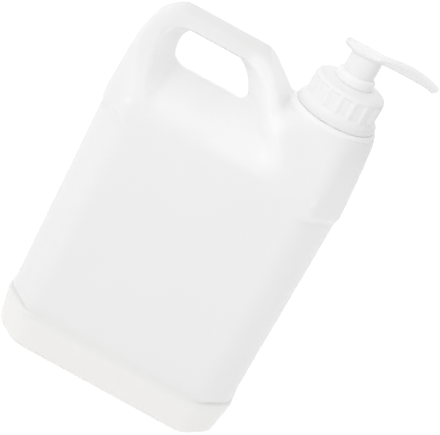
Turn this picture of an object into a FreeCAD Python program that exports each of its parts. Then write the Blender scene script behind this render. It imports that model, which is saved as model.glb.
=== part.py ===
"""Pump oil bottle: a slim handled bottle with a screw-on lotion pump, pushed down and locked.

Millimetres, +Z up. The origin is the middle of the base on the floor. +X runs from the handle
towards the neck and the spout, and -Y is the front.
"""
import FreeCAD, Part
import math
import os
import re
import Sketcher

# Driving dimensions
SIZES = {
    # bottle body
    "body_width": 150.0, "body_depth": 80.0, "corner_cut": 17.0, "wall": 1.4,
    "foot_inset": 5.2, "foot_rise": 4.0, "foot_taper": 2.8, "foot_ring": 9.0, "base_recess": 2.0,
    "band_height": 25.7, "ledge_height": 2.8, "panel_inset": 1.5, "panel_height": 130.5,
    "step_height": 5.5, "rim_height": 8.5,
    # shoulder under the neck
    "shoulder_rise": 35.0, "shoulder_left": 77.0, "shoulder_shift": 16.0, "shoulder_cut": 16.0,
    "shoulder_edge": 5.0, "shoulder_width": 2.4, "shoulder_round": 6.0, "shoulder_roll": 3.4,
    # handle
    "handle_rise": 53.5, "handle_lean": 4.6, "handle_corner": 15.5, "handle_bar_end": 71.5,
    "leg_drop": 26.0, "leg_run": 24.3, "bar_half_depth": 11.5, "bar_crown": 6.0,
    "hole_edge": 23.2, "hole_length": 48.4, "hole_rise": 17.4, "hole_height": 26.0,
    "hole_slant": 7.0, "hole_cut": 7.0, "flare_left": 13.0, "flare_right": 22.0,
    "flare_floor": 12.5, "flare_top": 3.0, "flare_cut": 12.0, "flare_past": 2.0,
    # neck finish
    "neck_inset": 30.6, "boss_width": 7.35, "boss_rise": 2.8, "boss_edge": 1.2,
    "neck_height": 16.4, "neck_radius": 17.45, "neck_wall": 2.25,
    "thread_pitch": 4.23, "thread_depth": 1.15, "thread_root": 1.8, "thread_tip": 0.9,
    "thread_start": 5.6, "thread_turns": 1.25, "thread_bite": 0.3,
    # closure
    "closure_gap": 0.7, "closure_wall": 1.45, "flange_width": 3.2, "flange_height": 3.0,
    "flare_height": 2.6, "crown_height": 4.2, "crown_inset": 4.8, "plate_thickness": 1.6,
    "rib_height": 0.45, "rib_width": 1.6, "rib_count": 16.0, "rib_length": 11.0,
    "thread_clearance": 0.35, "thread_drop": 1.75, "closure_turns": 1.1,
    # seal and housing
    "face_gap": 0.05, "plate_gap": 0.1, "gasket_thickness": 1.0, "gasket_inset": 0.15,
    "housing_flange": 1.5, "housing_lip": 0.25, "cup_wall": 1.9, "cup_floor": 1.5,
    "cylinder_radius": 8.0, "cylinder_wall": 1.4, "chamber_room": 1.0, "chamber_height": 2.6,
    "passage_radius": 1.6, "passage_length": 3.0, "socket_length": 14.0, "socket_wall": 1.6,
    "neck_taper": 5.5, "fit": 0.02,
    # lock ring
    "ring_wall": 1.7, "ring_height": 5.8, "ring_gap": 0.3, "ring_skirt_wall": 0.8, "ring_reach": 10.7,
    "ring_floor": 2.0, "running_gap": 0.3, "stem_gap": 0.35, "snap_gap": 0.05,
    # stem, piston and valves
    "stroke": 20.0, "stop_gap": 0.4, "stem_radius": 4.5, "stem_wall": 2.0, "stem_above": 14.5,
    "collar_width": 1.2, "collar_height": 1.7, "piston_height": 8.7, "piston_gap": 0.3,
    "piston_clearance": 0.05, "waist_depth": 0.9, "lip_height": 1.0, "lip_slope": 1.3,
    "seat_flange": 2.0, "seat_margin": 1.7, "guide_gap": 0.6, "guide_length": 3.0, "spigot_length": 7.5,
    "seat_bore": 1.6, "inlet_ball_radius": 3.0, "outlet_ball_radius": 2.75, "ball_gap": 0.05,
    "outlet_neck": 1.5, "outlet_neck_length": 3.4, "outlet_room": 0.4, "outlet_depth": 6.6,
    # spring and its seat
    "spring_length": 19.0, "spring_gap": 0.8, "spring_wire": 1.2, "spring_turns": 5.5,
    "cage_flange": 1.2, "cage_gap": 0.3, "cage_room": 0.6, "cage_wall": 1.0, "cage_height": 4.0,
    "cage_bar": 1.2,
    # dip tube
    "tube_radius": 4.0, "tube_wall": 1.2, "tube_clear": 3.6, "tube_cut": 4.0,
    # head
    "skirt_radius": 9.15, "skirt_wall": 1.1, "skirt_lift": 2.0, "deck_height": 11.2, "deck_thickness": 2.2,
    "boss_wall": 1.5, "boss_length": 14.0, "pad_overlap": 0.4, "head_passage": 2.0, "passage_rise": 3.4,
    "pad_overhang": 0.45, "pad_rear": 8.0, "pad_front": 4.0, "pad_thickness": 2.0, "lip_reach": 14.8,
    "lip_half_width": 5.6, "lip_rise": 1.0, "lip_thickness": 2.2, "crest_reach": 24.0,
    "crest_half_width": 4.3, "crest_height": 5.7, "bend_reach": 37.0, "bend_half_width": 3.7,
    "bend_height": 4.6, "bend_drop": 0.5, "tip_reach": 42.6, "tip_half_width": 3.0, "tip_height": 3.1,
    "tip_drop": 1.9, "head_cut": 0.28, "channel_radius": 0.9, "channel_root": 0.3,
    "channel_crest": 3.1, "channel_bend": 2.3, "channel_past": 1.0,
}

# Levels and places, each built from the driving dimensions
LEDGE_TOP = "(band_height + ledge_height)"
PANEL_TOP = f"({LEDGE_TOP} + panel_height)"
STEP_TOP = f"({PANEL_TOP} + step_height)"
RIM_TOP = f"({STEP_TOP} + rim_height)"
SHOULDER_TOP = f"({RIM_TOP} + shoulder_rise)"
HANDLE_TOP = f"({RIM_TOP} + handle_rise)"
HALF_WIDTH = "(body_width / 2)"
HALF_DEPTH = "(body_depth / 2)"
NECK_X = f"({HALF_WIDTH} - neck_inset)"
BOSS_RADIUS = "(neck_radius + boss_width)"
SHOULDER_REACH = f"({BOSS_RADIUS} + shoulder_width)"
NECK_BORE = "(neck_radius - neck_wall)"
BOSS_TOP = f"({SHOULDER_TOP} + boss_rise)"
NECK_RIM = f"({BOSS_TOP} + neck_height)"
CLOSURE_BASE = f"({BOSS_TOP} + closure_gap)"
FLANGE_LOW = f"({NECK_RIM} + gasket_thickness + 2 * face_gap)"
FLANGE_TOP = f"({FLANGE_LOW} + housing_flange)"
PLATE_LOW = f"({FLANGE_TOP} + plate_gap)"
CLOSURE_TOP = f"({PLATE_LOW} + plate_thickness)"
CLOSURE_BORE = "(neck_radius + thread_depth + thread_clearance)"
CLOSURE_RADIUS = f"({CLOSURE_BORE} + closure_wall)"
CLOSURE_FOOT = f"({CLOSURE_RADIUS} + flange_width)"
RING_TOP = f"({CLOSURE_TOP} + ring_gap + ring_height)"
RING_BASE = f"({CLOSURE_TOP} - ring_reach)"
RING_FLOOR_TOP = f"({RING_BASE} + ring_floor)"
RING_BORE = "(skirt_radius + running_gap)"
RING_RADIUS = f"({RING_BORE} + ring_wall)"
RING_SKIRT = f"({RING_BORE} + ring_skirt_wall)"
CUP_FLOOR = f"({RING_BASE} - face_gap)"
CUP_BORE = f"({RING_SKIRT} + snap_gap)"
STEM_BORE = "(stem_radius - stem_wall)"
COLLAR_RADIUS = "(stem_radius + collar_width)"
SPRING_RADIUS = "(cylinder_radius - spring_gap - spring_wire / 2)"
SEAT_CHAMBER = "(inlet_ball_radius + chamber_room)"
OUTLET_CHAMBER = "(outlet_ball_radius + outlet_room)"
COLLAR_TOP = f"({RING_BASE} - stroke - stop_gap)"
COLLAR_LOW = f"({COLLAR_TOP} - collar_height)"
PISTON_TOP = f"({COLLAR_LOW} - piston_gap)"
PISTON_LOW = f"({PISTON_TOP} - piston_height)"
SEAT_TOP = f"({PISTON_LOW} - piston_gap)"
SEAT_LOW = f"({SEAT_TOP} - seat_flange)"
SPRING_TOP = f"({SEAT_LOW} - face_gap)"
SPRING_LOW = f"({SPRING_TOP} - spring_length)"
CAGE_FLANGE_TOP = f"({SPRING_LOW} - face_gap)"
CAGE_LOW = f"({CAGE_FLANGE_TOP} - cage_flange)"
CYLINDER_LOW = f"({CAGE_LOW} - face_gap)"
INLET_CONE_TOP = f"({CYLINDER_LOW} - chamber_height)"
INLET_CONE_LOW = f"({INLET_CONE_TOP} - {SEAT_CHAMBER} + passage_radius)"
TUBE_STOP = f"({INLET_CONE_LOW} - passage_length)"
SOCKET_LOW = f"({TUBE_STOP} - socket_length)"
INLET_BALL_Z = f"({INLET_CONE_LOW} - passage_radius + (inlet_ball_radius + ball_gap) * sqrt(2))"
STEM_TOP = f"({CLOSURE_TOP} + stem_above)"
OUTLET_CONE_LOW = f"({STEM_TOP} - outlet_depth)"
OUTLET_BALL_Z = f"({OUTLET_CONE_LOW} - outlet_neck + (outlet_ball_radius + ball_gap) * sqrt(2))"
SKIRT_LOW = f"({RING_FLOOR_TOP} + skirt_lift)"
DECK_TOP = f"({RING_TOP} + deck_height)"
PAD_LOW = f"({DECK_TOP} - pad_overlap)"
FLOOR_TOP = "(base_recess + wall)"

doc = FreeCAD.newDocument("pump_oil_bottle")
sheet = doc.addObject("Spreadsheet::Sheet", "Sizes")
for row, (alias, value) in enumerate(SIZES.items(), start=1):
    sheet.set(f"A{row}", alias)
    sheet.set(f"B{row}", str(value))
    sheet.setAlias(f"B{row}", alias)
doc.recompute()


def bind(text):
    """Write each size in an expression as its cell of the sheet."""
    return re.sub(r"[a-z_]+", lambda word: f"Sizes.{word[0]}" if word[0] in SIZES else word[0], text)


def size(text):
    """Value of an expression in millimetres."""
    return float(sheet.evalExpression(bind(text)))


def origin_plane(body, role):
    return next(feature for feature in body.Origin.OriginFeatures if feature.Role == role)


def new_body(label, x=None):
    """Body whose own axis stands at x."""
    body = doc.addObject("PartDesign::Body", label)
    if x:
        body.setExpression("Placement.Base.x", bind(x))
    return body


def new_sketch(body, name, role, offset):
    """Sketch on one of the body's planes, moved along that plane's normal."""
    sketch = body.newObject("Sketcher::SketchObject", name)
    sketch.AttachmentSupport = [(origin_plane(body, role), "")]
    sketch.MapMode = "FlatFace"
    if offset:
        sketch.setExpression("AttachmentOffset.Base.z", bind(offset))
    return sketch


def polygon(body, name, role, points, offset=None):
    """Closed outline with each corner held at its two distances from the origin."""
    sketch = new_sketch(body, name, role, offset)
    places = [FreeCAD.Vector(size(across), size(along), 0) for across, along in points]
    count = len(places)
    for index in range(count):
        sketch.addGeometry(Part.LineSegment(places[index], places[(index + 1) % count]), False)
    for index in range(count):
        sketch.addConstraint(Sketcher.Constraint("Coincident", index, 2, (index + 1) % count, 1))
    for index, texts in enumerate(points):
        values = (places[index].x, places[index].y)
        for kind, text, value in zip(("DistanceX", "DistanceY"), texts, values):
            number = sketch.addConstraint(Sketcher.Constraint(kind, -1, 1, index, 1, value))
            sketch.setExpression(f"Constraints[{number}]", bind(text))
    return sketch


def circle(body, name, role, radius, height, offset=None):
    """Circle on the plane's upright axis, at a height above the origin."""
    sketch = new_sketch(body, name, role, offset)
    middle = FreeCAD.Vector(0, size(height), 0)
    sketch.addGeometry(Part.Circle(middle, FreeCAD.Vector(0, 0, 1), size(radius)), False)
    sketch.addConstraint(Sketcher.Constraint("PointOnObject", 0, 3, -2))
    number = sketch.addConstraint(Sketcher.Constraint("Radius", 0, size(radius)))
    sketch.setExpression(f"Constraints[{number}]", bind(radius))
    number = sketch.addConstraint(Sketcher.Constraint("DistanceY", -1, 1, 0, 3, size(height)))
    sketch.setExpression(f"Constraints[{number}]", bind(height))
    return sketch


def extrude(body, kind, name, sketch, length, back=False):
    """Pad or pocket along the sketch's normal, or against it."""
    feature = body.newObject(f"PartDesign::{kind}", name)
    feature.Profile = sketch
    feature.setExpression("Length", bind(length))
    feature.Reversed = back
    return feature


def revolve(body, name, points):
    """Turned shape: an outline of radius and height about the body's upright axis."""
    sketch = polygon(body, f"{name}_outline", "XZ_Plane", points)
    feature = body.newObject("PartDesign::Revolution", name)
    feature.Profile = sketch
    feature.ReferenceAxis = (sketch, ["V_Axis"])
    return feature


def loft(body, name, sketches, kind="AdditiveLoft"):
    """Straight-sided skin through sketches with equally many sides."""
    feature = body.newObject(f"PartDesign::{kind}", name)
    feature.Profile = sketches[0]
    feature.Sections = sketches[1:]
    feature.Ruled = True
    return feature


def copies(body, name, feature, count, step):
    """Copies of a feature about the body's upright axis."""
    pattern = body.newObject("PartDesign::PolarPattern", name)
    pattern.Originals = [feature]
    pattern.Axis = (origin_plane(body, "Z_Axis"), [""])
    pattern.setExpression("Angle", step)
    pattern.setExpression("Occurrences", count)
    body.Tip = pattern
    return pattern


def thread(body, name, points, turns):
    """Right-hand ridge: an outline carried up about the body's axis."""
    sketch = polygon(body, f"{name}_outline", "XZ_Plane", points)
    ridge = body.newObject("PartDesign::AdditiveHelix", name)
    ridge.Profile = sketch
    ridge.ReferenceAxis = (sketch, ["V_Axis"])
    ridge.Mode = "pitch-turns-angle"
    ridge.setExpression("Pitch", bind("thread_pitch"))
    ridge.setExpression("Turns", bind(turns))
    return ridge


def inset(points, distance, still=()):
    """Move an anticlockwise outline's sides inward by a distance, apart from those that stay still."""
    places = [(size(across), size(along)) for across, along in points]
    count = len(places)
    normals = []
    for index in range(count):
        run = places[(index + 1) % count][0] - places[index][0]
        rise = places[(index + 1) % count][1] - places[index][1]
        normals.append((-rise / math.hypot(run, rise), run / math.hypot(run, rise)))
    moved = []
    for index, (across, along) in enumerate(points):
        before, after = normals[index - 1], normals[index]
        ask_before = 0.0 if (index - 1) % count in still else 1.0
        ask_after = 0.0 if index in still else 1.0
        cross = before[0] * after[1] - before[1] * after[0]
        move_across = (ask_before * after[1] - ask_after * before[1]) / cross
        move_along = (ask_after * before[0] - ask_before * after[0]) / cross
        moved.append((f"{across} + ({move_across:.6f}) * ({distance})",
                      f"{along} + ({move_along:.6f}) * ({distance})"))
    return moved


def cut_rectangle(left, right, half_depth, left_cut, right_cut):
    """Rectangle with its four corners cut off at 45 degrees, anticlockwise."""
    return [
        (f"{left} + {left_cut}", f"-{half_depth}"), (f"{right} - {right_cut}", f"-{half_depth}"),
        (right, f"-{half_depth} + {right_cut}"), (right, f"{half_depth} - {right_cut}"),
        (f"{right} - {right_cut}", half_depth), (f"{left} + {left_cut}", half_depth),
        (left, f"{half_depth} - {left_cut}"), (left, f"-{half_depth} + {left_cut}"),
    ]


def joined(kind, label, pieces):
    """Boolean of several shapes."""
    result = doc.addObject(f"Part::{kind}", label)
    result.Shapes = pieces
    return result


def cut(label, base, tool):
    result = doc.addObject("Part::Cut", label)
    result.Base = base
    result.Tool = tool
    return result


# Bottle
BODY_PLAN = cut_rectangle(f"-{HALF_WIDTH}", HALF_WIDTH, HALF_DEPTH, "corner_cut", "corner_cut")


def body_form(label, wall, floor):
    """Trunk and shoulder of the bottle, drawn in by a wall, standing on a floor."""
    body = new_body(label)
    levels = [
        (floor, "foot_inset"), (f"{floor} + foot_rise", "foot_taper"), ("band_height", "0"),
        (LEDGE_TOP, "panel_inset"), (PANEL_TOP, "panel_inset"), (STEP_TOP, "0"), (RIM_TOP, "0"),
    ]
    trunk = []
    for number, (level, taper) in enumerate(levels):
        plan = inset(BODY_PLAN, f"{taper} + {wall}")
        trunk.append(polygon(body, f"{label}_level_{number}", "XY_Plane", plan, level))
    loft(body, f"{label}_trunk", trunk)
    left = f"(-{HALF_WIDTH} + shoulder_left)"
    foot = cut_rectangle(left, HALF_WIDTH, HALF_DEPTH, "shoulder_edge", "corner_cut")
    head = cut_rectangle(f"({left} + shoulder_shift)", f"({NECK_X} + {SHOULDER_REACH})",
                         SHOULDER_REACH, "shoulder_edge", "shoulder_cut")
    stages = [
        ("foot", inset(foot, wall), RIM_TOP),
        ("edge", inset(head, wall), f"{SHOULDER_TOP} - shoulder_round - {wall} / 2"),
        ("head", inset(head, f"shoulder_roll + {wall}"), f"{SHOULDER_TOP} - {wall}"),
    ]
    loft(body, f"{label}_shoulder", [
        polygon(body, f"{label}_shoulder_{name}", "XY_Plane", plan, level) for name, plan, level in stages
    ])
    return body


def prism(label, role, points, start, length):
    """Straight block from an outline."""
    body = new_body(label)
    sketch = polygon(body, f"{label}_outline", role, points, start)
    extrude(body, "Pad", f"{label}_pad", sketch, length)
    return body


def handle_form(label, wall):
    """Handle block where its plan, its side outline and its tent-shaped end outline meet."""
    bar_right = f"(-{HALF_WIDTH} + handle_bar_end)"
    side = [
        (f"-{HALF_WIDTH}", RIM_TOP), (f"({bar_right} + leg_run)", RIM_TOP),
        (f"({bar_right} + leg_run)", f"({HANDLE_TOP} - leg_drop)"), (bar_right, HANDLE_TOP),
        (f"(-{HALF_WIDTH} + handle_lean + handle_corner)", HANDLE_TOP),
        (f"(-{HALF_WIDTH} + handle_lean)", f"({HANDLE_TOP} - handle_corner)"),
    ]
    end = [
        (f"-{HALF_DEPTH}", RIM_TOP), (HALF_DEPTH, RIM_TOP),
        ("bar_half_depth", f"({HANDLE_TOP} - bar_crown)"), ("bar_half_depth - bar_crown", HANDLE_TOP),
        ("-bar_half_depth + bar_crown", HANDLE_TOP), ("-bar_half_depth", f"({HANDLE_TOP} - bar_crown)"),
    ]
    blocks = [
        prism(f"{label}_plan", "XY_Plane", inset(BODY_PLAN, wall), RIM_TOP, "handle_rise"),
        prism(f"{label}_side", "XZ_Plane", inset(side, wall, still={0}), f"-{HALF_DEPTH}", "body_depth"),
        prism(f"{label}_end", "YZ_Plane", inset(end, wall, still={0}), f"-{HALF_WIDTH}", "body_width"),
    ]
    return joined("MultiCommon", label, blocks)


def hole_form(label, grow):
    """Hand hole, narrowest in the middle and flared towards the front and the back."""
    body = new_body(label)
    reach = f"({HALF_DEPTH} + flare_past)"
    left, right = f"(-{HALF_WIDTH} + hole_edge)", f"(-{HALF_WIDTH} + hole_edge + hole_length)"
    low, high = f"({RIM_TOP} + hole_rise)", f"({RIM_TOP} + hole_rise + hole_height)"

    def outline(out_left, out_right, out_low, out_high, corner):
        near, far = f"({left} - {out_left})", f"({right} + {out_right})"
        base, crown = f"({low} - {out_low})", f"({high} + {out_high})"
        return [
            (f"{near} + {corner}", base), (f"{far} - {corner}", base), (far, f"{base} + {corner}"),
            (f"{far} - hole_slant", f"{crown} - {corner}"), (f"{far} - hole_slant - {corner}", crown),
            (f"{near} + {corner}", crown), (near, f"{crown} - {corner}"), (near, f"{base} + {corner}"),
        ]

    middle = inset(outline("0", "0", "0", "0", "hole_cut"), f"-{grow}")
    mouth = inset(outline("flare_left", "flare_right", "flare_floor", "flare_top", "flare_cut"), f"-{grow}")
    waist = polygon(body, f"{label}_waist", "XZ_Plane", middle)
    for side, offset in (("front", reach), ("back", f"-{reach}")):
        opening = polygon(body, f"{label}_{side}_mouth", "XZ_Plane", mouth, offset)
        loft(body, f"{label}_{side}", [waist, opening])
    return body


def skin(label, wall, floor):
    """One skin of the bottle without its neck, as a solid."""
    mass = joined("MultiFuse", f"{label}_mass", [
        body_form(f"{label}_body", wall, floor), handle_form(f"{label}_handle", wall)])
    return cut(label, mass, hole_form(f"{label}_hole", wall))


def neck_finish():
    """Boss, threaded neck and rim, standing in the shoulder's top."""
    body = new_body("neck_finish", NECK_X)
    revolve(body, "neck_turned", [
        (NECK_BORE, f"({SHOULDER_TOP} - wall / 2)"), (BOSS_RADIUS, f"({SHOULDER_TOP} - wall / 2)"),
        (BOSS_RADIUS, f"({BOSS_TOP} - boss_edge)"), (f"{BOSS_RADIUS} - boss_edge", BOSS_TOP),
        ("neck_radius", BOSS_TOP), ("neck_radius", NECK_RIM), (NECK_BORE, NECK_RIM),
    ])
    middle = f"({BOSS_TOP} + thread_start)"
    thread(body, "neck_thread", [
        ("neck_radius - thread_bite", f"{middle} - thread_root / 2"),
        ("neck_radius + thread_depth", f"{middle} - thread_tip / 2"),
        ("neck_radius + thread_depth", f"{middle} + thread_tip / 2"),
        ("neck_radius - thread_bite", f"{middle} + thread_root / 2"),
    ], "thread_turns")
    return body


def bottle():
    hollow = cut("bottle_hollow", skin("outer_skin", "0", "0"), skin("inner_skin", "wall", FLOOR_TOP))
    bore = doc.addObject("Part::Cylinder", "neck_opening")
    bore.setExpression("Radius", bind(NECK_BORE))
    bore.setExpression("Height", bind("shoulder_rise"))
    bore.setExpression("Placement.Base.x", bind(NECK_X))
    bore.setExpression("Placement.Base.z", bind(f"{BOSS_TOP} - shoulder_rise"))
    recess_plan = inset(BODY_PLAN, "foot_inset + foot_ring")
    recess = prism("base_hollow", "XY_Plane", recess_plan, None, "base_recess")
    opened = cut("bottle_opened", hollow, joined("MultiFuse", "bottle_cuts", [bore, recess]))
    return joined("MultiFuse", "bottle", [opened, neck_finish()])


# Screw collar and seal
def closure():
    body = new_body("closure", NECK_X)
    skirt_low = f"({CLOSURE_BASE} + flange_height + flare_height)"
    crown_low = f"({CLOSURE_TOP} - crown_height)"
    revolve(body, "closure_turned", [
        (CLOSURE_BORE, CLOSURE_BASE), (CLOSURE_FOOT, CLOSURE_BASE),
        (CLOSURE_FOOT, f"{CLOSURE_BASE} + flange_height"), (CLOSURE_RADIUS, skirt_low),
        (CLOSURE_RADIUS, crown_low),
        (f"{CLOSURE_RADIUS} - crown_inset * (1 - sqrt(0.5))", f"{crown_low} + crown_height * sqrt(0.5)"),
        (f"{CLOSURE_RADIUS} - crown_inset", CLOSURE_TOP),
        (f"{RING_SKIRT} + stem_gap", CLOSURE_TOP), (f"{RING_SKIRT} + stem_gap", PLATE_LOW),
        (CLOSURE_BORE, PLATE_LOW),
    ])
    middle = f"({BOSS_TOP} + thread_start - thread_drop)"
    thread(body, "closure_thread", [
        (f"{CLOSURE_BORE} + thread_bite", f"{middle} + thread_root / 2"),
        (f"{CLOSURE_BORE} - thread_depth", f"{middle} + thread_tip / 2"),
        (f"{CLOSURE_BORE} - thread_depth", f"{middle} - thread_tip / 2"),
        (f"{CLOSURE_BORE} + thread_bite", f"{middle} - thread_root / 2"),
    ], "closure_turns")
    outline = polygon(body, "rib_outline", "XY_Plane", [
        (f"{CLOSURE_RADIUS} - rib_height", "-rib_width / 2"),
        (f"{CLOSURE_RADIUS} + rib_height", "-rib_width / 4"),
        (f"{CLOSURE_RADIUS} + rib_height", "rib_width / 4"),
        (f"{CLOSURE_RADIUS} - rib_height", "rib_width / 2"),
    ], f"{skirt_low} - rib_height")
    rib = extrude(body, "Pad", "rib", outline, "rib_length")
    copies(body, "ribs", rib, bind("rib_count"), f"360 - 360 / {bind('rib_count')}")
    return body


def neck_gasket():
    body = new_body("neck_gasket", NECK_X)
    low = f"({NECK_RIM} + face_gap)"
    revolve(body, "gasket_turned", [
        (f"{NECK_BORE} - gasket_inset", low), ("neck_radius - gasket_inset", low),
        ("neck_radius - gasket_inset", f"{low} + gasket_thickness"),
        (f"{NECK_BORE} - gasket_inset", f"{low} + gasket_thickness"),
    ])
    return body


# Pump
def pump_housing():
    body = new_body("pump_housing", NECK_X)
    cylinder_out = "(cylinder_radius + cylinder_wall)"
    cup_out = f"({CUP_BORE} + cup_wall)"
    socket_bore = "(tube_radius + fit)"
    socket_out = f"({socket_bore} + socket_wall)"
    cup_low = f"({CUP_FLOOR} - cup_floor)"
    revolve(body, "housing_turned", [
        (CUP_BORE, FLANGE_TOP), (CUP_BORE, CUP_FLOOR), ("cylinder_radius", CUP_FLOOR),
        ("cylinder_radius", CYLINDER_LOW), (SEAT_CHAMBER, CYLINDER_LOW), (SEAT_CHAMBER, INLET_CONE_TOP),
        ("passage_radius", INLET_CONE_LOW), ("passage_radius", TUBE_STOP), (socket_bore, TUBE_STOP),
        (socket_bore, SOCKET_LOW), (socket_out, SOCKET_LOW), (socket_out, f"{CYLINDER_LOW} - neck_taper"),
        (cylinder_out, f"{CYLINDER_LOW} - cylinder_wall"),
        (cylinder_out, f"{cup_low} - {cup_out} + {cylinder_out}"), (cup_out, cup_low), (cup_out, FLANGE_LOW),
        ("neck_radius - housing_lip", FLANGE_LOW), ("neck_radius - housing_lip", FLANGE_TOP),
    ])
    return body


def lock_ring():
    body = new_body("lock_ring", NECK_X)
    revolve(body, "ring_turned", [
        ("stem_radius + stem_gap", RING_BASE), (RING_SKIRT, RING_BASE),
        (RING_SKIRT, f"{CLOSURE_TOP} + ring_gap"), (RING_RADIUS, f"{CLOSURE_TOP} + ring_gap"),
        (RING_RADIUS, RING_TOP), (RING_BORE, RING_TOP), (RING_BORE, RING_FLOOR_TOP),
        ("stem_radius + stem_gap", RING_FLOOR_TOP),
    ])
    return body


def stem():
    body = new_body("stem", NECK_X)
    neck_low = f"({OUTLET_CONE_LOW} - outlet_neck_length)"
    cone_top = f"({OUTLET_CONE_LOW} + {OUTLET_CHAMBER} - outlet_neck)"
    revolve(body, "stem_turned", [
        (STEM_BORE, f"{SEAT_TOP} + fit"), ("stem_radius", f"{SEAT_TOP} + fit"), ("stem_radius", COLLAR_LOW),
        (COLLAR_RADIUS, COLLAR_LOW), (COLLAR_RADIUS, COLLAR_TOP), ("stem_radius", COLLAR_TOP),
        ("stem_radius", STEM_TOP), (OUTLET_CHAMBER, STEM_TOP), (OUTLET_CHAMBER, cone_top),
        ("outlet_neck", OUTLET_CONE_LOW), ("outlet_neck", neck_low), (STEM_BORE, f"{neck_low} - {STEM_BORE}"),
    ])
    return body


def piston():
    body = new_body("piston", NECK_X)
    lip = "(cylinder_radius - piston_clearance)"
    revolve(body, "piston_turned", [
        ("stem_radius + piston_clearance", PISTON_LOW), (lip, PISTON_LOW),
        (lip, f"{PISTON_LOW} + lip_height"),
        ("cylinder_radius - waist_depth", f"{PISTON_LOW} + lip_height + lip_slope"),
        ("cylinder_radius - waist_depth", f"{PISTON_TOP} - lip_height - lip_slope"),
        (lip, f"{PISTON_TOP} - lip_height"),
        (lip, PISTON_TOP), ("stem_radius + piston_clearance", PISTON_TOP),
    ])
    return body


def piston_seat():
    body = new_body("piston_seat", NECK_X)
    guide = f"({SPRING_RADIUS} - spring_wire / 2 - guide_gap)"
    revolve(body, "seat_turned", [
        ("seat_bore", f"{SEAT_LOW} - guide_length"), (guide, f"{SEAT_LOW} - guide_length"),
        (guide, SEAT_LOW), ("cylinder_radius - seat_margin", SEAT_LOW),
        ("cylinder_radius - seat_margin", SEAT_TOP),
        (f"{STEM_BORE} - fit", SEAT_TOP), (f"{STEM_BORE} - fit", f"{SEAT_TOP} + spigot_length"),
        ("seat_bore", f"{SEAT_TOP} + spigot_length"),
    ])
    return body


def ball_cage():
    body = new_body("ball_cage", NECK_X)
    bore = "(inlet_ball_radius + cage_room)"
    shell = f"({bore} + cage_wall)"
    bar_low = f"({CAGE_LOW} + cage_height - cage_bar)"
    revolve(body, "cage_turned", [
        (bore, CAGE_LOW), ("cylinder_radius - cage_gap", CAGE_LOW),
        ("cylinder_radius - cage_gap", CAGE_FLANGE_TOP),
        (shell, CAGE_FLANGE_TOP), (shell, f"{CAGE_LOW} + cage_height"),
        (bore, f"{CAGE_LOW} + cage_height"),
    ])
    reach = f"({bore} + cage_wall / 2)"
    outline = polygon(body, "bar_outline", "XY_Plane", [
        (f"-{reach}", "-cage_bar / 2"), (reach, "-cage_bar / 2"),
        (reach, "cage_bar / 2"), (f"-{reach}", "cage_bar / 2"),
    ], bar_low)
    bar = extrude(body, "Pad", "cage_bar_pad", outline, "cage_bar")
    copies(body, "cage_cross", bar, "2", "90")
    return body


def valve_ball(label, radius, height):
    ball = doc.addObject("Part::Sphere", label)
    ball.setExpression("Radius", bind(radius))
    ball.setExpression("Placement.Base.x", bind(NECK_X))
    ball.setExpression("Placement.Base.z", bind(height))
    return ball


def dip_tube():
    body = new_body("dip_tube", NECK_X)
    low = f"({FLOOR_TOP} + tube_clear)"
    revolve(body, "tube_turned", [
        ("tube_radius - tube_wall", low), ("tube_radius", low), ("tube_radius", f"{TUBE_STOP} - fit"),
        ("tube_radius - tube_wall", f"{TUBE_STOP} - fit"),
    ])
    outline = polygon(body, "tube_end", "XZ_Plane", [
        ("-2 * tube_radius", f"{low} - tube_cut / 2"), ("2 * tube_radius", f"{low} - tube_cut / 2"),
        ("2 * tube_radius", f"{low} + 3 * tube_cut / 2"),
    ], "-2 * tube_radius")
    extrude(body, "Pocket", "tube_slant", outline, "4 * tube_radius", back=True)
    return body


def helix_wire(radius, rise, turns, low):
    """Helix as pairs of tangent arcs, two to each quarter turn."""
    pieces = []
    slope = rise / (2 * math.pi)
    knots = []
    for step in range(round(4 * turns) + 1):
        angle = step * math.pi / 2
        place = FreeCAD.Vector(radius * math.cos(angle), radius * math.sin(angle), low + slope * angle)
        heading = FreeCAD.Vector(-radius * math.sin(angle), radius * math.cos(angle), slope).normalize()
        knots.append((place, heading))
    for (start, leave), (finish, arrive) in zip(knots, knots[1:]):
        span = finish - start
        spread = 2 * (1 - leave.dot(arrive))
        along = span.dot(leave + arrive)
        reach = (math.sqrt(along * along + spread * span.dot(span)) - along) / spread
        corners = (start + leave * reach, finish - arrive * reach)
        meeting = (corners[0] + corners[1]) * 0.5
        for first, corner, last in ((start, corners[0], meeting), (meeting, corners[1], finish)):
            middle = (first + last) * 0.5
            chord = (last - first).Length / 2
            bend = math.acos(chord / (corner - first).Length)
            crown = middle + (corner - middle).normalize() * (chord * math.tan(bend / 2))
            pieces.append(Part.Arc(first, crown, last).toShape())
    return Part.Wire(pieces)


def return_spring():
    """Steel coil between its seat and the piston's plug, squeezed by the locked head."""
    wire = size("spring_wire")
    radius = size(SPRING_RADIUS)
    turns = size("spring_turns")
    low = size(f"{SPRING_LOW} + spring_wire / 2")
    rise = (size("spring_length") - wire) / turns
    path = helix_wire(radius, rise, turns, low)
    start = FreeCAD.Vector(radius, 0, low)
    heading = FreeCAD.Vector(0, radius, rise / (2 * math.pi))
    section = Part.Wire(Part.makeCircle(wire / 2, start, heading))
    spring = doc.addObject("Part::Feature", "return_spring")
    spring.Shape = path.makePipeShell([section], True, False)
    spring.setExpression("Placement.Base.x", bind(NECK_X))
    print("spring gap between turns", round(rise - wire, 3))
    print("spring volume ratio", round(spring.Shape.Volume / (path.Length * math.pi * wire * wire / 4), 5))
    return spring


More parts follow.
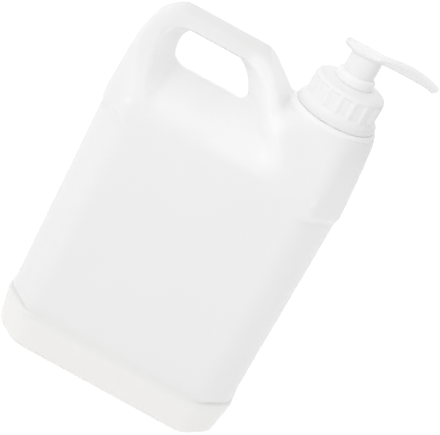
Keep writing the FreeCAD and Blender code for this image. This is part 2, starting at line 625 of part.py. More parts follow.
# Head
def head_section(body, name, place, half_width, low, high):
    """Cross-section of the pad or the spout, with its edges cut back."""
    corner = f"head_cut * ({high} - {low})"
    near, far = f"-({half_width})", f"({half_width})"
    return polygon(body, name, "YZ_Plane", [
        (f"{near} + {corner}", low), (f"{far} - {corner}", low), (far, f"{low} + {corner}"),
        (far, f"{high} - {corner}"), (f"{far} - {corner}", high), (f"{near} + {corner}", high),
        (near, f"{high} - {corner}"), (near, f"{low} + {corner}"),
    ], place)


def pump_head():
    body = new_body("pump_head", NECK_X)
    socket = "(stem_radius + fit)"
    boss_low = f"({STEM_TOP} - boss_length)"
    ceiling = f"({DECK_TOP} - deck_thickness)"
    bore = "(skirt_radius - skirt_wall)"
    revolve(body, "head_turned", [
        ("head_passage", STEM_TOP), (socket, STEM_TOP), (socket, boss_low),
        (f"{socket} + boss_wall", boss_low),
        (f"{socket} + boss_wall", ceiling), (bore, ceiling), (bore, SKIRT_LOW), ("skirt_radius", SKIRT_LOW),
        ("skirt_radius", DECK_TOP), ("head_passage", DECK_TOP),
    ])
    stations = [
        ("lip", "-lip_reach", "lip_half_width", f"({PAD_LOW} + lip_rise)",
         f"({PAD_LOW} + lip_rise + lip_thickness)"),
        ("pad_rear", "-pad_rear", "skirt_radius + pad_overhang", PAD_LOW, f"({PAD_LOW} + pad_thickness)"),
        ("pad_front", "pad_front", "skirt_radius + pad_overhang", PAD_LOW, f"({PAD_LOW} + pad_thickness)"),
        ("crest", "crest_reach", "crest_half_width", PAD_LOW, f"({PAD_LOW} + crest_height)"),
        ("bend", "bend_reach", "bend_half_width", f"({PAD_LOW} - bend_drop)",
         f"({PAD_LOW} - bend_drop + bend_height)"),
        ("tip", "tip_reach", "tip_half_width", f"({PAD_LOW} - tip_drop)",
         f"({PAD_LOW} - tip_drop + tip_height)"),
    ]
    loft(body, "head_top", [head_section(body, f"head_{name}", *rest) for name, *rest in stations])
    passage = circle(body, "passage_outline", "XY_Plane", "head_passage", "0", STEM_TOP)
    extrude(body, "Pocket", "passage", passage, "passage_rise", back=True)
    outlet = f"({PAD_LOW} - tip_drop + tip_height / 2)"
    course = [
        ("root", f"({PAD_LOW} + channel_root)", None),
        ("crest", f"({PAD_LOW} + channel_crest)", "crest_reach"),
        ("bend", f"({PAD_LOW} + channel_bend - bend_drop)", "bend_reach"),
        ("mouth", outlet, "tip_reach + channel_past"),
    ]
    rings = [
        circle(body, f"channel_at_{name}", "YZ_Plane", "channel_radius", level, place)
        for name, level, place in course
    ]
    loft(body, "channel", rings, "SubtractiveLoft")
    return body


NODES = [
    bottle(), closure(), neck_gasket(), pump_housing(), lock_ring(), stem(), piston(), piston_seat(),
    return_spring(), ball_cage(), dip_tube(), pump_head(),
    valve_ball("inlet_ball", "inlet_ball_radius", INLET_BALL_Z),
    valve_ball("outlet_ball", "outlet_ball_radius", OUTLET_BALL_Z),
]
doc.recompute()

# Checks before anything is written
for item in doc.Objects:
    if "Invalid" in item.State or "Error" in item.State:
        raise RuntimeError(f"{item.Label} failed: {item.State}")
for node in NODES:
    if node.Shape.isNull() or not node.Shape.isValid() or len(node.Shape.Solids) != 1:
        raise RuntimeError(f"{node.Label} isn't one sound solid")

os.makedirs("parts", exist_ok=True)
for node in NODES:
    node.Shape.exportStep(f"parts/{node.Label}.step")
    print(node.Label, round(node.Shape.Volume, 1), node.Shape.BoundBox)
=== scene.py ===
"""Looks of the pump oil bottle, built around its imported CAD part.

Sizes of the pieces and of the studio are in millimetres and become metres when an object is made. Finishes are in
metres and in cycles a metre, as their nodes read them. The frame is the CAD one: +Z up, the bottle's front towards
-Y, the handle on the left and the pump on the right.
"""

import logging
import math
from dataclasses import dataclass, field
from enum import Enum
from functools import cache, cached_property
from typing import NamedTuple

import bpy
import numpy as np
from mathutils import Matrix, Vector


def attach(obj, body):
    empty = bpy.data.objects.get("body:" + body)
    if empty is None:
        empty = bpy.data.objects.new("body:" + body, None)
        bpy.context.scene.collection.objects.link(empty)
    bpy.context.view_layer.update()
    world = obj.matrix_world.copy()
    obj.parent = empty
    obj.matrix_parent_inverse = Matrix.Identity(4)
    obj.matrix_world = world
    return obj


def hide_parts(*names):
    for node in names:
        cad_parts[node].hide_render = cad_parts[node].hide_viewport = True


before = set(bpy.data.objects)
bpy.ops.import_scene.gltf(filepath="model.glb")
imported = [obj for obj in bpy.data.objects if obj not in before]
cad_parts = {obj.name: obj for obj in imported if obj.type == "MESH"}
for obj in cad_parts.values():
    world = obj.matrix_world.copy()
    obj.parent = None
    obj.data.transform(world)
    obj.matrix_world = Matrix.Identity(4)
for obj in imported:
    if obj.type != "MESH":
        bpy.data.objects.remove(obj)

Array = np.ndarray
Colour = tuple[float, float, float]
Point = tuple[float, float, float]
Span = tuple[float, float]
Socket = bpy.types.NodeSocket

METRES_PER_MM = 0.001
NECK_X = 44.4
SMOOTH_EDGE = math.radians(38.0)
FULL_TURN = 2.0 * math.pi
QUARTER_TURN = 0.5 * math.pi
DIAGONAL = math.sqrt(2.0)
HAIRS_BREADTH = 0.01
WHITE = (1.0, 1.0, 1.0)

log = logging.getLogger("pump_oil_bottle")


class Slot(Enum):
    """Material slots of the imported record."""

    BOTTLE = "bottle_hdpe"
    PUMP = "pump_plastic"
    HOUSING = "housing_plastic"
    PISTON = "piston_plastic"
    TUBE = "tube_plastic"
    GASKET = "gasket_foam"
    STEEL = "steel"


class Body(Enum):
    """CAD bodies that new pieces ride on."""

    BOTTLE = "bottle"
    PUMP_UNIT = "pump_unit"
    CLOSURE = "closure"
    PLUNGER = "plunger"


class Trait(Enum):
    """Painted shade and painted light that a mesh hands its finish at each point, from 0 to 1."""

    # Painted shade in grooves, under lips, at the boss's foot, on the collar's foot and on the pad and spout.
    PAINTED_SHADE = "crease"
    # Painted light and painted highlights on lips, the hand hole, the leg, the boss, the pips, the collar, the ring
    # and the pad's dish.
    PAINTED_LIGHT = "thin"
    # Painted shade on the handle, stronger where it faces up.
    HANDLE_SHADE = "handle"


class Sum(Enum):
    """Ways in which a finish joins two values."""

    ADD = "ADD"
    MULTIPLY = "MULTIPLY"
    LARGER = "MAXIMUM"
    WITHOUT_SIGN = "ABSOLUTE"


class Places(NamedTuple):
    """Places in the bottle's frame, as arrays of one shape."""

    x: Array
    y: Array
    z: Array


class Corner(NamedTuple):
    """Corner of an outline that is turned about the neck's axis."""

    radius: float
    height: float
    rounding: float = 0.0


# Whole-array helpers


def soft_max(a: Array, b: Array, blend: float | Array) -> Array:
    """Larger of two fields, with the edge between them rounded.

    Formula: where the fields differ by less than the blend, a parabola joins them, a quarter of the blend
    above their meeting line.

    Args:
        a: First field.
        b: Second field.
        blend: Width of the rounded zone.

    Returns:
        The blended field.
    """
    share = np.clip(0.5 + 0.5 * (a - b) / blend, 0.0, 1.0)
    return b + (a - b) * share + blend * share * (1.0 - share)


def soft_min(a: Array, b: Array, blend: float | Array) -> Array:
    """Smaller of two fields with a rounded valley, which is soft_max turned over."""
    return -soft_max(-a, -b, blend)


def ramp(value: Array, low: float, high: float) -> Array:
    """Smooth rise from 0 at low to 1 at high: three times the share squared less twice its cube."""
    share = np.clip((value - low) / (high - low), 0.0, 1.0)
    return share * share * (3.0 - 2.0 * share)


def bell(value: Array, middle: float, width: float) -> Array:
    """Bell of height 1 about a middle: e to the minus squared share of the width."""
    return np.exp(-(((value - middle) / width) ** 2))


def curve_through(x: Array, knots: Array, values: Array) -> Array:
    """Smooth curve through knots that makes no waves of its own.

    Formula: cubic Hermite pieces, whose slope at a knot is the harmonic mean of the slopes beside it, or level
    where these differ in sign.

    Args:
        x: Places to read the curve at.
        knots: Rising places of the known values.
        values: Known values.

    Returns:
        The curve's values at x.
    """
    run = np.diff(knots)
    slope = np.diff(values) / run
    left, right = slope[:-1], slope[1:]
    agree = left * right > 0.0
    total = np.where(agree, left + right, 1.0)
    inner = np.where(agree, 2.0 * left * right / total, 0.0)
    tangent = np.concatenate(([slope[0]], inner, [slope[-1]]))
    piece = np.clip(np.searchsorted(knots, x, side="right") - 1, 0, len(run) - 1)
    t = np.clip((x - knots[piece]) / run[piece], 0.0, 1.0)
    start = (1.0 + 2.0 * t) * (1.0 - t) ** 2 * values[piece] + t * (1.0 - t) ** 2 * run[piece] * tangent[piece]
    end = t * t * (3.0 - 2.0 * t) * values[piece + 1] - t * t * (1.0 - t) * run[piece] * tangent[piece + 1]
    return start + end


def rounded_outline(corners: list[Corner], longest: float, steps: int = 6) -> Array:
    """Closed outline with its corners rounded and its long runs divided.

    Formula: at each corner a quadratic curve runs from the point one rounding before the corner to the point one
    rounding after it, pulled by the corner itself.

    Args:
        corners: Corners, running anticlockwise with the radius to the right.
        longest: Longest run left undivided.
        steps: Points on each rounded corner.

    Returns:
        Array of (radius, height).
    """
    sharp = np.array([corner[:2] for corner in corners])
    rounding = np.array([corner.rounding for corner in corners])[:, None]
    before = np.roll(sharp, 1, axis=0) - sharp
    after = np.roll(sharp, -1, axis=0) - sharp
    first = sharp + before / np.linalg.norm(before, axis=1, keepdims=True) * rounding
    last = sharp + after / np.linalg.norm(after, axis=1, keepdims=True) * rounding
    t = np.linspace(0.0, 1.0, steps)[None, :, None]
    arcs = (1.0 - t) ** 2 * first[:, None] + 2.0 * t * (1.0 - t) * sharp[:, None] + t * t * last[:, None]
    keep = np.ones((len(corners), steps), bool)
    keep[rounding[:, 0] == 0.0, 1:] = False
    return split_runs(arcs[keep], longest)


def split_runs(outline: Array, longest: float) -> Array:
    """Adds evenly spaced points to the long runs of a closed outline.

    Args:
        outline: Closed outline.
        longest: Longest run left undivided.

    Returns:
        The outline with its long runs divided.
    """
    following = np.roll(outline, -1, axis=0)
    counts = np.maximum(1, np.ceil(np.linalg.norm(following - outline, axis=1) / longest).astype(int))
    which = np.repeat(np.arange(len(outline)), counts)
    step = np.arange(len(which)) - np.repeat(np.cumsum(counts) - counts, counts)
    share = (step / counts[which])[:, None]
    return outline[which] * (1.0 - share) + following[which] * share


def even_angles(columns: int) -> Array:
    """Angles of evenly spaced columns round a full turn."""
    return np.arange(columns) * (FULL_TURN / columns)


def grid_quads(index: Array) -> Array:
    """Quads between neighbours on a grid of point numbers, going along its first direction and then its second."""
    corners = (index[:-1, :-1], index[1:, :-1], index[1:, 1:], index[:-1, 1:])
    return np.stack(corners, axis=-1).reshape(-1, 4)


# Meshes


def stand(name: str, data: bpy.types.ID) -> bpy.types.Object:
    """Adds an object to the scene.

    Args:
        name: Name of the object.
        data: Mesh, camera or lamp that it holds.

    Returns:
        The object, standing at the origin.
    """
    made = bpy.data.objects.new(name, data)
    bpy.context.scene.collection.objects.link(made)
    return made


@dataclass
class Surface:
    """Mesh arrays of one closed surface, in millimetres."""

    points: Array
    quads: Array
    normals: Array | None = None
    traits: dict[Trait, Array] = field(default_factory=dict)

    def joined(self, other: "Surface") -> "Surface":
        """Joins two surfaces, with a trait that one of them lacks at 0 there.

        Args:
            other: Surface to add.

        Returns:
            Both as one set of arrays.
        """
        quads = np.vstack((self.quads, other.quads + len(self.points)))
        traits = {}
        for trait in {**self.traits, **other.traits}:
            mine = self.traits.get(trait, np.zeros(len(self.points)))
            traits[trait] = np.concatenate((mine, other.traits.get(trait, np.zeros(len(other.points)))))
        return Surface(np.vstack((self.points, other.points)), quads, None, traits)

    def piece(self, name: str) -> bpy.types.Object:
        """Makes the Blender object, with a triangle for each quad whose first or last two corners are one.

        Args:
            name: Name of the piece.

        Returns:
            The object, standing at the origin with its place in its mesh.
        """
        mesh = bpy.data.meshes.new(name)
        mesh.vertices.add(len(self.points))
        mesh.vertices.foreach_set("co", (self.points * METRES_PER_MM).astype(np.float32).ravel())
        last_two_same = self.quads[:, 2] == self.quads[:, 3]
        first_two_same = self.quads[:, 0] == self.quads[:, 1]
        sides = np.where(last_two_same | first_two_same, 3, 4)
        keep = np.ones(self.quads.shape, bool)
        keep[last_two_same, 3] = False
        keep[first_two_same, 0] = False
        corners = self.quads[keep]
        mesh.loops.add(len(corners))
        mesh.loops.foreach_set("vertex_index", corners.astype(np.int32))
        mesh.polygons.add(len(sides))
        mesh.polygons.foreach_set("loop_start", (np.cumsum(sides) - sides).astype(np.int32))
        mesh.update(calc_edges=True)
        mesh.shade_smooth()
        if self.normals is None:
            mesh.set_sharp_from_angle(angle=SMOOTH_EDGE)
        else:
            mesh.normals_split_custom_set_from_vertices(self.normals)
        for trait, values in self.traits.items():
            mesh.attributes.new(trait.value, "FLOAT", "POINT").data.foreach_set("value", values.astype(np.float32))
        return stand(name, mesh)


def turned(outline: Array, angles: Array, swell: float | Array = 0.0) -> Surface:
    """Closed outline carried round the neck's axis.

    Formula: a point at radius r and height z goes to (axis + (r + swell) cos angle, (r + swell) sin angle, z).

    Args:
        outline: Closed outline as (radius, height), running anticlockwise with the radius to the right.
        angles: Angles of the columns, evenly spaced round a full turn.
        swell: Radius added to each point of each column, as an array of columns by points.

    Returns:
        The surface.
    """
    grid = (len(angles), len(outline))
    radius = np.broadcast_to(outline[:, 0], grid) + swell
    height = np.broadcast_to(outline[:, 1], grid)
    across = NECK_X + radius * np.cos(angles)[:, None]
    along = radius * np.sin(angles)[:, None]
    points = np.stack((across, along, height), axis=-1).reshape(-1, 3)
    index = np.arange(len(points)).reshape(grid)
    return Surface(points, grid_quads(np.pad(index, (0, 1), mode="wrap")))


@dataclass
class Lattice:
    """Box lattice on which a distance field becomes a mesh, with its own spacing along each axis."""

    x: Array
    y: Array
    z: Array

    def cells(self, values: Array) -> tuple[Array, Array]:
        """Finds the cells that the surface passes through.

        Formula: each such cell gets one point, the mean of the places where the surface crosses its edges.

        Args:
            values: Field at the lattice points, below 0 inside.

        Returns:
            Cell numbers with -1 for the others, and the cells' points.
        """
        inside = values < 0.0
        shape = tuple(n - 1 for n in values.shape)
        corner_count = np.zeros(shape, np.int8)
        offsets = [(a, b, c) for a in (0, 1) for b in (0, 1) for c in (0, 1)]
        for a, b, c in offsets:
            corner_count += inside[a : a + shape[0], b : b + shape[1], c : c + shape[2]]
        place = np.argwhere((corner_count > 0) & (corner_count < len(offsets)))
        number = np.full(shape, -1, np.int64)
        number[tuple(place.T)] = np.arange(len(place))
        total = np.zeros((len(place), 3))
        crossings = np.zeros((len(place), 1))
        for first in offsets:
            for axis in range(3):
                if first[axis]:
                    continue
                start = place + np.array(first)
                stop = start + np.eye(3, dtype=int)[axis]
                low, high = values[tuple(start.T)], values[tuple(stop.T)]
                crossed = (low < 0.0) != (high < 0.0)
                share = np.where(crossed, low / np.where(crossed, low - high, 1.0), 0.0)[:, None]
                point = self.spots(start) * (1.0 - share) + self.spots(stop) * share
                total += np.where(crossed[:, None], point, 0.0)
                crossings += crossed[:, None]
        return number, total / crossings

    def spots(self, index: Array) -> Array:
        """Places of lattice points given by their numbers along the axes."""
        return np.stack((self.x[index[:, 0]], self.y[index[:, 1]], self.z[index[:, 2]]), axis=1)

    def quads(self, values: Array, number: Array) -> Array:
        """Joins the points of the four cells round each lattice edge that the surface crosses.

        Args:
            values: Field at the lattice points.
            number: Cell numbers.

        Returns:
            Quads that face outwards.
        """
        found = []
        for axis in range(3):
            inside = np.moveaxis(values, axis, 0) < 0.0
            cell = np.moveaxis(number, axis, 0)
            edge = np.argwhere(inside[:-1, 1:-1, 1:-1] != inside[1:, 1:-1, 1:-1])
            i, j, k = edge[:, 0], edge[:, 1] + 1, edge[:, 2] + 1
            ring = np.stack((cell[i, j - 1, k - 1], cell[i, j, k - 1], cell[i, j, k], cell[i, j - 1, k]), axis=1)
            leaves = inside[i, j, k]
            if axis == 1:
                leaves = ~leaves
            found.append(np.where(leaves[:, None], ring, ring[:, ::-1]))
        return np.vstack(found)

    def surface(self, form: "BottleForm") -> Surface:
        """Meshes a form.

        Formula: the cells' points are moved onto the surface by Newton steps along the field's slope, evened out by
        two rounds of averaging with their neighbours, and moved onto it again. The slope there is the normal.

        Args:
            form: Form with a distance field.

        Returns:
            The surface with its normals.
        """
        values = form.distance(Places(*np.meshgrid(self.x, self.y, self.z, indexing="ij")))
        number, points = self.cells(values)
        quads = self.quads(values, number)
        edges = np.vstack((quads[:, (0, 1)], quads[:, (1, 2)], quads[:, (2, 3)], quads[:, (3, 0)]))
        ends = np.concatenate((edges[:, 0], edges[:, 1]))
        others = np.concatenate((edges[:, 1], edges[:, 0]))
        degree = np.bincount(ends, minlength=len(points))[:, None]
        points = form.settle(points)
        for _ in range(2):
            sums = [np.bincount(ends, points[others, axis], len(points)) for axis in range(3)]
            points = form.settle(0.5 * points + 0.5 * np.stack(sums, axis=1) / degree)
        return Surface(points, quads, form.slope(points))


# Finishes


class Recipe:
    """Node tree of a material or of the surround, with short calls that add nodes and join them."""

    def __init__(self, owner: bpy.types.Material | bpy.types.World) -> None:
        """Starts an empty tree.

        Args:
            owner: Material or world that the tree belongs to.
        """
        owner.use_nodes = True
        self.owner = owner
        self.tree = owner.node_tree
        self.tree.nodes.clear()

    @cached_property
    def coordinates(self) -> bpy.types.NodeOutputs:
        """Coordinates of the shaded point."""
        return self.add("ShaderNodeTexCoord").outputs

    def feed(self, socket: Socket, value: object) -> None:
        """Links a socket, or sets it to a constant.

        Args:
            socket: Socket to feed.
            value: Socket, node whose first output is meant, colour or number.
        """
        if isinstance(value, bpy.types.Node):
            value = value.outputs[0]
        if isinstance(value, Socket):
            self.tree.links.new(value, socket)
        elif socket.type == "RGBA":
            socket.default_value = (*value, 1.0)
        else:
            socket.default_value = value

    def add(self, kind: str, *ordered: object, **named: object) -> bpy.types.Node:
        """Adds a node.

        Args:
            kind: Node type.
            ordered: What its first inputs get, in their order.
            named: What other inputs get, by name, with underscores for spaces.

        Returns:
            The node.
        """
        node = self.tree.nodes.new(kind)
        for socket, value in zip(node.inputs, ordered):
            self.feed(socket, value)
        for name, value in named.items():
            self.feed(node.inputs[name.replace("_", " ")], value)
        return node

    def noise(self, scale: float, detail: float, stretch: Point = (1.0, 1.0, 1.0)) -> Socket:
        """Noise on the piece's own coordinates, scale cycles a metre, stretched along the axes."""
        mapped = self.add("ShaderNodeMapping", Vector=self.coordinates["Object"], Scale=stretch)
        return self.add("ShaderNodeTexNoise", Vector=mapped, Scale=scale, Detail=detail).outputs[0]

    def spread(self, value: Socket, low: float, high: float, start: float = 0.3, stop: float = 0.7) -> Socket:
        """Maps a value between start and stop to a range from low to high."""
        return self.add("ShaderNodeMapRange", value, start, stop, low, high).outputs[0]

    def combine(self, how: Sum, a: Socket, b: Socket | float = 0.0) -> Socket:
        """Joins two values.

        Args:
            how: Kind of sum.
            a: First value.
            b: Second value, which some sums leave out.

        Returns:
            The result.
        """
        node = self.add("ShaderNodeMath", a, b)
        node.operation = how.value
        return node.outputs[0]

    def blend(self, share: Socket, first: Colour | Socket, second: Colour | Socket) -> Socket:
        """Mixes two colours.

        Args:
            share: Share of the second colour.
            first: First colour.
            second: Second colour.

        Returns:
            The colour between them.
        """
        node = self.add("ShaderNodeMix", share)
        node.data_type = "RGBA"
        sockets = [socket for socket in node.inputs if socket.type == "RGBA"]
        for socket, colour in zip(sockets, (first, second)):
            self.feed(socket, colour)
        return next(socket for socket in node.outputs if socket.type == "RGBA")

    def trait(self, trait: Trait) -> Socket:
        """Reads what the piece's mesh tells at each point.

        Args:
            trait: Which of its values.

        Returns:
            The value, or 0 where the mesh has none.
        """
        node = self.add("ShaderNodeAttribute")
        node.attribute_name = trait.value
        return node.outputs["Fac"]

    def lit_paper(self, tone: Colour, glow: float) -> bpy.types.Node:
        """Matt paper of a tone that also shines with a white glow."""
        matt = self.add("ShaderNodeBsdfDiffuse", Color=tone)
        return self.add("ShaderNodeAddShader", self.add("ShaderNodeEmission", Color=WHITE, Strength=glow), matt)

    def seen_or_felt(self, seen: bpy.types.Node, felt: bpy.types.Node) -> bpy.types.Node:
        """Parts what shows of the background from the light that it gives.

        Args:
            seen: Shader that the camera, a mirror or clear plastic shows.
            felt: Shader that lights the object.

        Returns:
            The shader of both.
        """
        path = self.add("ShaderNodeLightPath").outputs
        direct = self.combine(Sum.LARGER, path["Is Camera Ray"], path["Is Glossy Ray"])
        direct = self.combine(Sum.LARGER, direct, path["Is Transmission Ray"])
        return self.add("ShaderNodeMixShader", direct, felt, seen)

    def close(self, shader: bpy.types.Node) -> bpy.types.Material | bpy.types.World:
        """Joins the shader to the output.

        Args:
            shader: Last shader of the tree.

        Returns:
            The finished material or world.
        """
        kind = "World" if isinstance(self.owner, bpy.types.World) else "Material"
        self.add(f"ShaderNodeOutput{kind}", Surface=shader)
        return self.owner


@dataclass(frozen=True)
class EdgeTones:
    """Painted shade and painted light that follow a moulding's edges: painted shade in its grooves, painted
    highlights on its edges and bright spots.
    """

    # Colour of the painted shade.
    crease: Colour
    # Colour of the painted light.
    thin: Colour

    def laid_over(self, recipe: Recipe, colour: Socket, height: Socket) -> Socket:
        """Lays the painted shade and painted light over the plain moulding's colour, at any height."""
        colour = recipe.blend(recipe.trait(Trait.PAINTED_SHADE), colour, self.crease)
        return recipe.blend(recipe.trait(Trait.PAINTED_LIGHT), colour, self.thin)


@dataclass(frozen=True)
class WallTones(EdgeTones):
    """Tones of a blown wall: painted shade low on the panel and on the handle, warm and white in the thick foot."""

    # Colour of the painted shade towards the bottom of the panel, and the heights over which it fades out.
    panel: Colour
    panel_fade: Span
    foot: Colour
    foot_fade: Span
    # Colour of the painted shade on the handle.
    handle: Colour

    def laid_over(self, recipe: Recipe, colour: Socket, height: Socket) -> Socket:
        """Lays the wall's tones and painted shade, and over them the edges' painted shade and painted light.

        Args:
            recipe: Node tree to add to.
            colour: Colour of the plain wall.
            height: Height of the shaded point.

        Returns:
            The toned colour.
        """
        # Painted shade: darker towards the bottom of the panel.
        colour = recipe.blend(recipe.spread(height, 0.0, 1.0, *self.panel_fade), self.panel, colour)
        colour = recipe.blend(recipe.spread(height, 0.0, 1.0, *self.foot_fade), self.foot, colour)
        # Painted shade on the handle.
        colour = recipe.blend(recipe.trait(Trait.HANDLE_SHADE), colour, self.handle)
        return super().laid_over(recipe, colour, height)


@dataclass(frozen=True)
class MouldedPlastic:
    """Moulded plastic: cloudy colour, uneven gloss, faint waves, grain, and a parting line if it has one."""

    slot: Slot
    colour: Colour
    cloud: Colour
    roughness: Span
    scatter: float
    scatter_reach: float
    wave_scale: float
    wave_depth: float
    grain_scale: float
    grain_depth: float
    tones: EdgeTones | None = None
    scatter_spread: Colour = (1.0, 1.0, 1.0)
    seam_width: float = 0.0
    seam_core: float = 0.3
    seam_height: float = 0.35
    cloud_scale: float = 18.0
    gloss_scale: float = 70.0
    bump_strength: float = 0.35
    bump_height: float = 0.0004
    refraction: float = 1.53

    def shader(self, recipe: Recipe) -> bpy.types.Node:
        """Mixes the plastic.

        Args:
            recipe: Node tree to add to.

        Returns:
            The shader.
        """
        cloud = recipe.spread(recipe.noise(self.cloud_scale, detail=3.0), 0.0, 1.0)
        colour = recipe.blend(cloud, self.colour, self.cloud)
        waves = recipe.combine(Sum.MULTIPLY, recipe.noise(self.wave_scale, detail=2.0), self.wave_depth)
        grain = recipe.combine(Sum.MULTIPLY, recipe.noise(self.grain_scale, detail=4.0), self.grain_depth)
        relief = recipe.combine(Sum.ADD, waves, grain)
        place = recipe.add("ShaderNodeSeparateXYZ", recipe.coordinates["Object"]).outputs
        # The tones lay painted shade and painted light over the colour.
        if self.tones is not None:
            colour = self.tones.laid_over(recipe, colour, place["Z"])
        if self.seam_width:
            beside = recipe.combine(Sum.WITHOUT_SIGN, place["Y"])
            line = recipe.spread(beside, 1.0, 0.0, self.seam_core * self.seam_width, self.seam_width)
            relief = recipe.combine(Sum.ADD, relief, recipe.combine(Sum.MULTIPLY, line, self.seam_height))
        bump = recipe.add("ShaderNodeBump", Strength=self.bump_strength, Distance=self.bump_height, Height=relief)
        gloss = recipe.spread(recipe.noise(self.gloss_scale, detail=5.0), *self.roughness)
        return recipe.add(
            "ShaderNodeBsdfPrincipled", Base_Color=colour, Roughness=gloss, Normal=bump, IOR=self.refraction,
            Subsurface_Weight=self.scatter, Subsurface_Scale=self.scatter_reach,
            Subsurface_Radius=self.scatter_spread,
        )


@dataclass(frozen=True)
class CellFoam:
    """Closed-cell foam liner: small round cells."""

    slot: Slot
    colour: Colour
    cell: Colour
    cell_scale: float
    cell_edge: float = 0.6
    roughness: float = 0.85
    bump_strength: float = 0.6
    bump_height: float = 0.0002

    def shader(self, recipe: Recipe) -> bpy.types.Node:
        """Mixes the foam.

        Args:
            recipe: Node tree to add to.

        Returns:
            The shader.
        """
        cells = recipe.add("ShaderNodeTexVoronoi", Vector=recipe.coordinates["Object"], Scale=self.cell_scale)
        depth = recipe.spread(cells.outputs["Distance"], 0.0, 1.0, 0.0, self.cell_edge)
        colour = recipe.blend(depth, self.cell, self.colour)
        bump = recipe.add("ShaderNodeBump", Strength=self.bump_strength, Distance=self.bump_height, Height=depth)
        return recipe.add("ShaderNodeBsdfPrincipled", Base_Color=colour, Roughness=self.roughness, Normal=bump)


@dataclass(frozen=True)
class BrightSteel:
    """Drawn and ground stainless steel with fine marks along its length."""

    slot: Slot
    colour: Colour
    worn: Colour
    roughness: Span = (0.16, 0.32)
    mark_scale: float = 900.0
    mark_stretch: Point = (1.0, 1.0, 6.0)
    gloss_scale: float = 260.0
    bump_strength: float = 0.2
    bump_height: float = 0.0001

    def shader(self, recipe: Recipe) -> bpy.types.Node:
        """Mixes the steel.

        Args:
            recipe: Node tree to add to.

        Returns:
            The shader.
        """
        marks = recipe.noise(self.mark_scale, detail=4.0, stretch=self.mark_stretch)
        colour = recipe.blend(recipe.spread(marks, 0.0, 1.0), self.colour, self.worn)
        gloss = recipe.spread(recipe.noise(self.gloss_scale, detail=3.0), *self.roughness)
        bump = recipe.add("ShaderNodeBump", Strength=self.bump_strength, Distance=self.bump_height, Height=marks)
        return recipe.add("ShaderNodeBsdfPrincipled", Base_Color=colour, Metallic=1.0, Roughness=gloss, Normal=bump)


Finish = MouldedPlastic | CellFoam | BrightSteel

BOTTLE_FINISH = MouldedPlastic(
    Slot.BOTTLE, colour=(0.935, 0.933, 0.932), cloud=(0.922, 0.92, 0.919), roughness=(0.3, 0.4), scatter=0.4,
    scatter_reach=0.003, wave_scale=55.0, wave_depth=0.4, grain_scale=1400.0, grain_depth=0.1, seam_width=0.0005,
    tones=WallTones(
        # Painted shade in grooves, low on the panel and on the handle, painted light on edges and bright spots, and
        # the foot's own warm white.
        crease=(0.86, 0.855, 0.85), thin=(0.99, 0.99, 0.99), panel=(0.905, 0.902, 0.903), panel_fade=(0.03, 0.16),
        foot=(0.955, 0.945, 0.926), foot_fade=(0.02, 0.03), handle=(0.846, 0.844, 0.843),
    ),
)
PUMP_FINISH = MouldedPlastic(
    Slot.PUMP, colour=(0.945, 0.945, 0.945), cloud=(0.93, 0.93, 0.93), roughness=(0.28, 0.38), scatter=0.12,
    scatter_reach=0.002, wave_scale=120.0, wave_depth=0.25, grain_scale=2200.0, grain_depth=0.12,
    # Painted shade on rims, walls, spout and collar foot, and painted light in the dish, on the ring and on the
    # flutes.
    tones=EdgeTones(crease=(0.78, 0.78, 0.78), thin=(0.995, 0.995, 0.995)),
)
HOUSING_FINISH = MouldedPlastic(
    Slot.HOUSING, colour=(0.86, 0.87, 0.87), cloud=(0.82, 0.83, 0.83), roughness=(0.26, 0.36), scatter=0.2,
    scatter_reach=0.003, wave_scale=140.0, wave_depth=0.25, grain_scale=2400.0, grain_depth=0.1,
)
PISTON_FINISH = MouldedPlastic(
    Slot.PISTON, colour=(0.78, 0.8, 0.82), cloud=(0.73, 0.75, 0.77), roughness=(0.35, 0.5), scatter=0.2,
    scatter_reach=0.002, wave_scale=160.0, wave_depth=0.25, grain_scale=2400.0, grain_depth=0.15,
)
TUBE_FINISH = MouldedPlastic(
    Slot.TUBE, colour=(0.85, 0.86, 0.86), cloud=(0.8, 0.81, 0.81), roughness=(0.22, 0.34), scatter=0.3,
    scatter_reach=0.003, wave_scale=90.0, wave_depth=0.3, grain_scale=1800.0, grain_depth=0.1,
)
GASKET_FINISH = CellFoam(Slot.GASKET, colour=(0.86, 0.86, 0.84), cell=(0.74, 0.74, 0.72), cell_scale=1600.0)
STEEL_FINISH = BrightSteel(Slot.STEEL, colour=(0.62, 0.63, 0.64), worn=(0.5, 0.51, 0.52))

CARRIED_NODES = {
    HOUSING_FINISH: ("pump_housing", "stem", "piston_seat", "ball_cage"),
    PISTON_FINISH: ("piston",),
    TUBE_FINISH: ("dip_tube",),
    GASKET_FINISH: ("neck_gasket",),
    STEEL_FINISH: ("return_spring", "inlet_ball", "outlet_ball"),
}


@cache
def paint(finish: Finish) -> bpy.types.Material:
    """Material of a finish, made once and named as its slot."""
    recipe = Recipe(bpy.data.materials.new(finish.slot.value))
    return recipe.close(finish.shader(recipe))


def dress_carried_nodes() -> None:
    """Gives the CAD pieces that stay their own finish."""
    for finish, nodes in CARRIED_NODES.items():
        for node in nodes:
            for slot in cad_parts[node].material_slots:
                slot.material = paint(finish)
            log.info("%s keeps its CAD shape, finished as %s", node, finish.slot.value)


def dress_piece(piece: bpy.types.Object, finish: Finish, body: Body, node: str) -> None:
    """Gives a new piece its finish and hangs it on its body, in place of a CAD node.

    Args:
        piece: The piece.
        finish: Its finish, which also names its material slot.
        body: CAD body that it rides on.
        node: CAD node that it stands for.
    """
    piece.data.materials.append(paint(finish))
    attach(piece, body.value)
    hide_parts(node)
    log.info("%s: %d points, %d faces", piece.name, len(piece.data.vertices), len(piece.data.polygons))


# Bottle


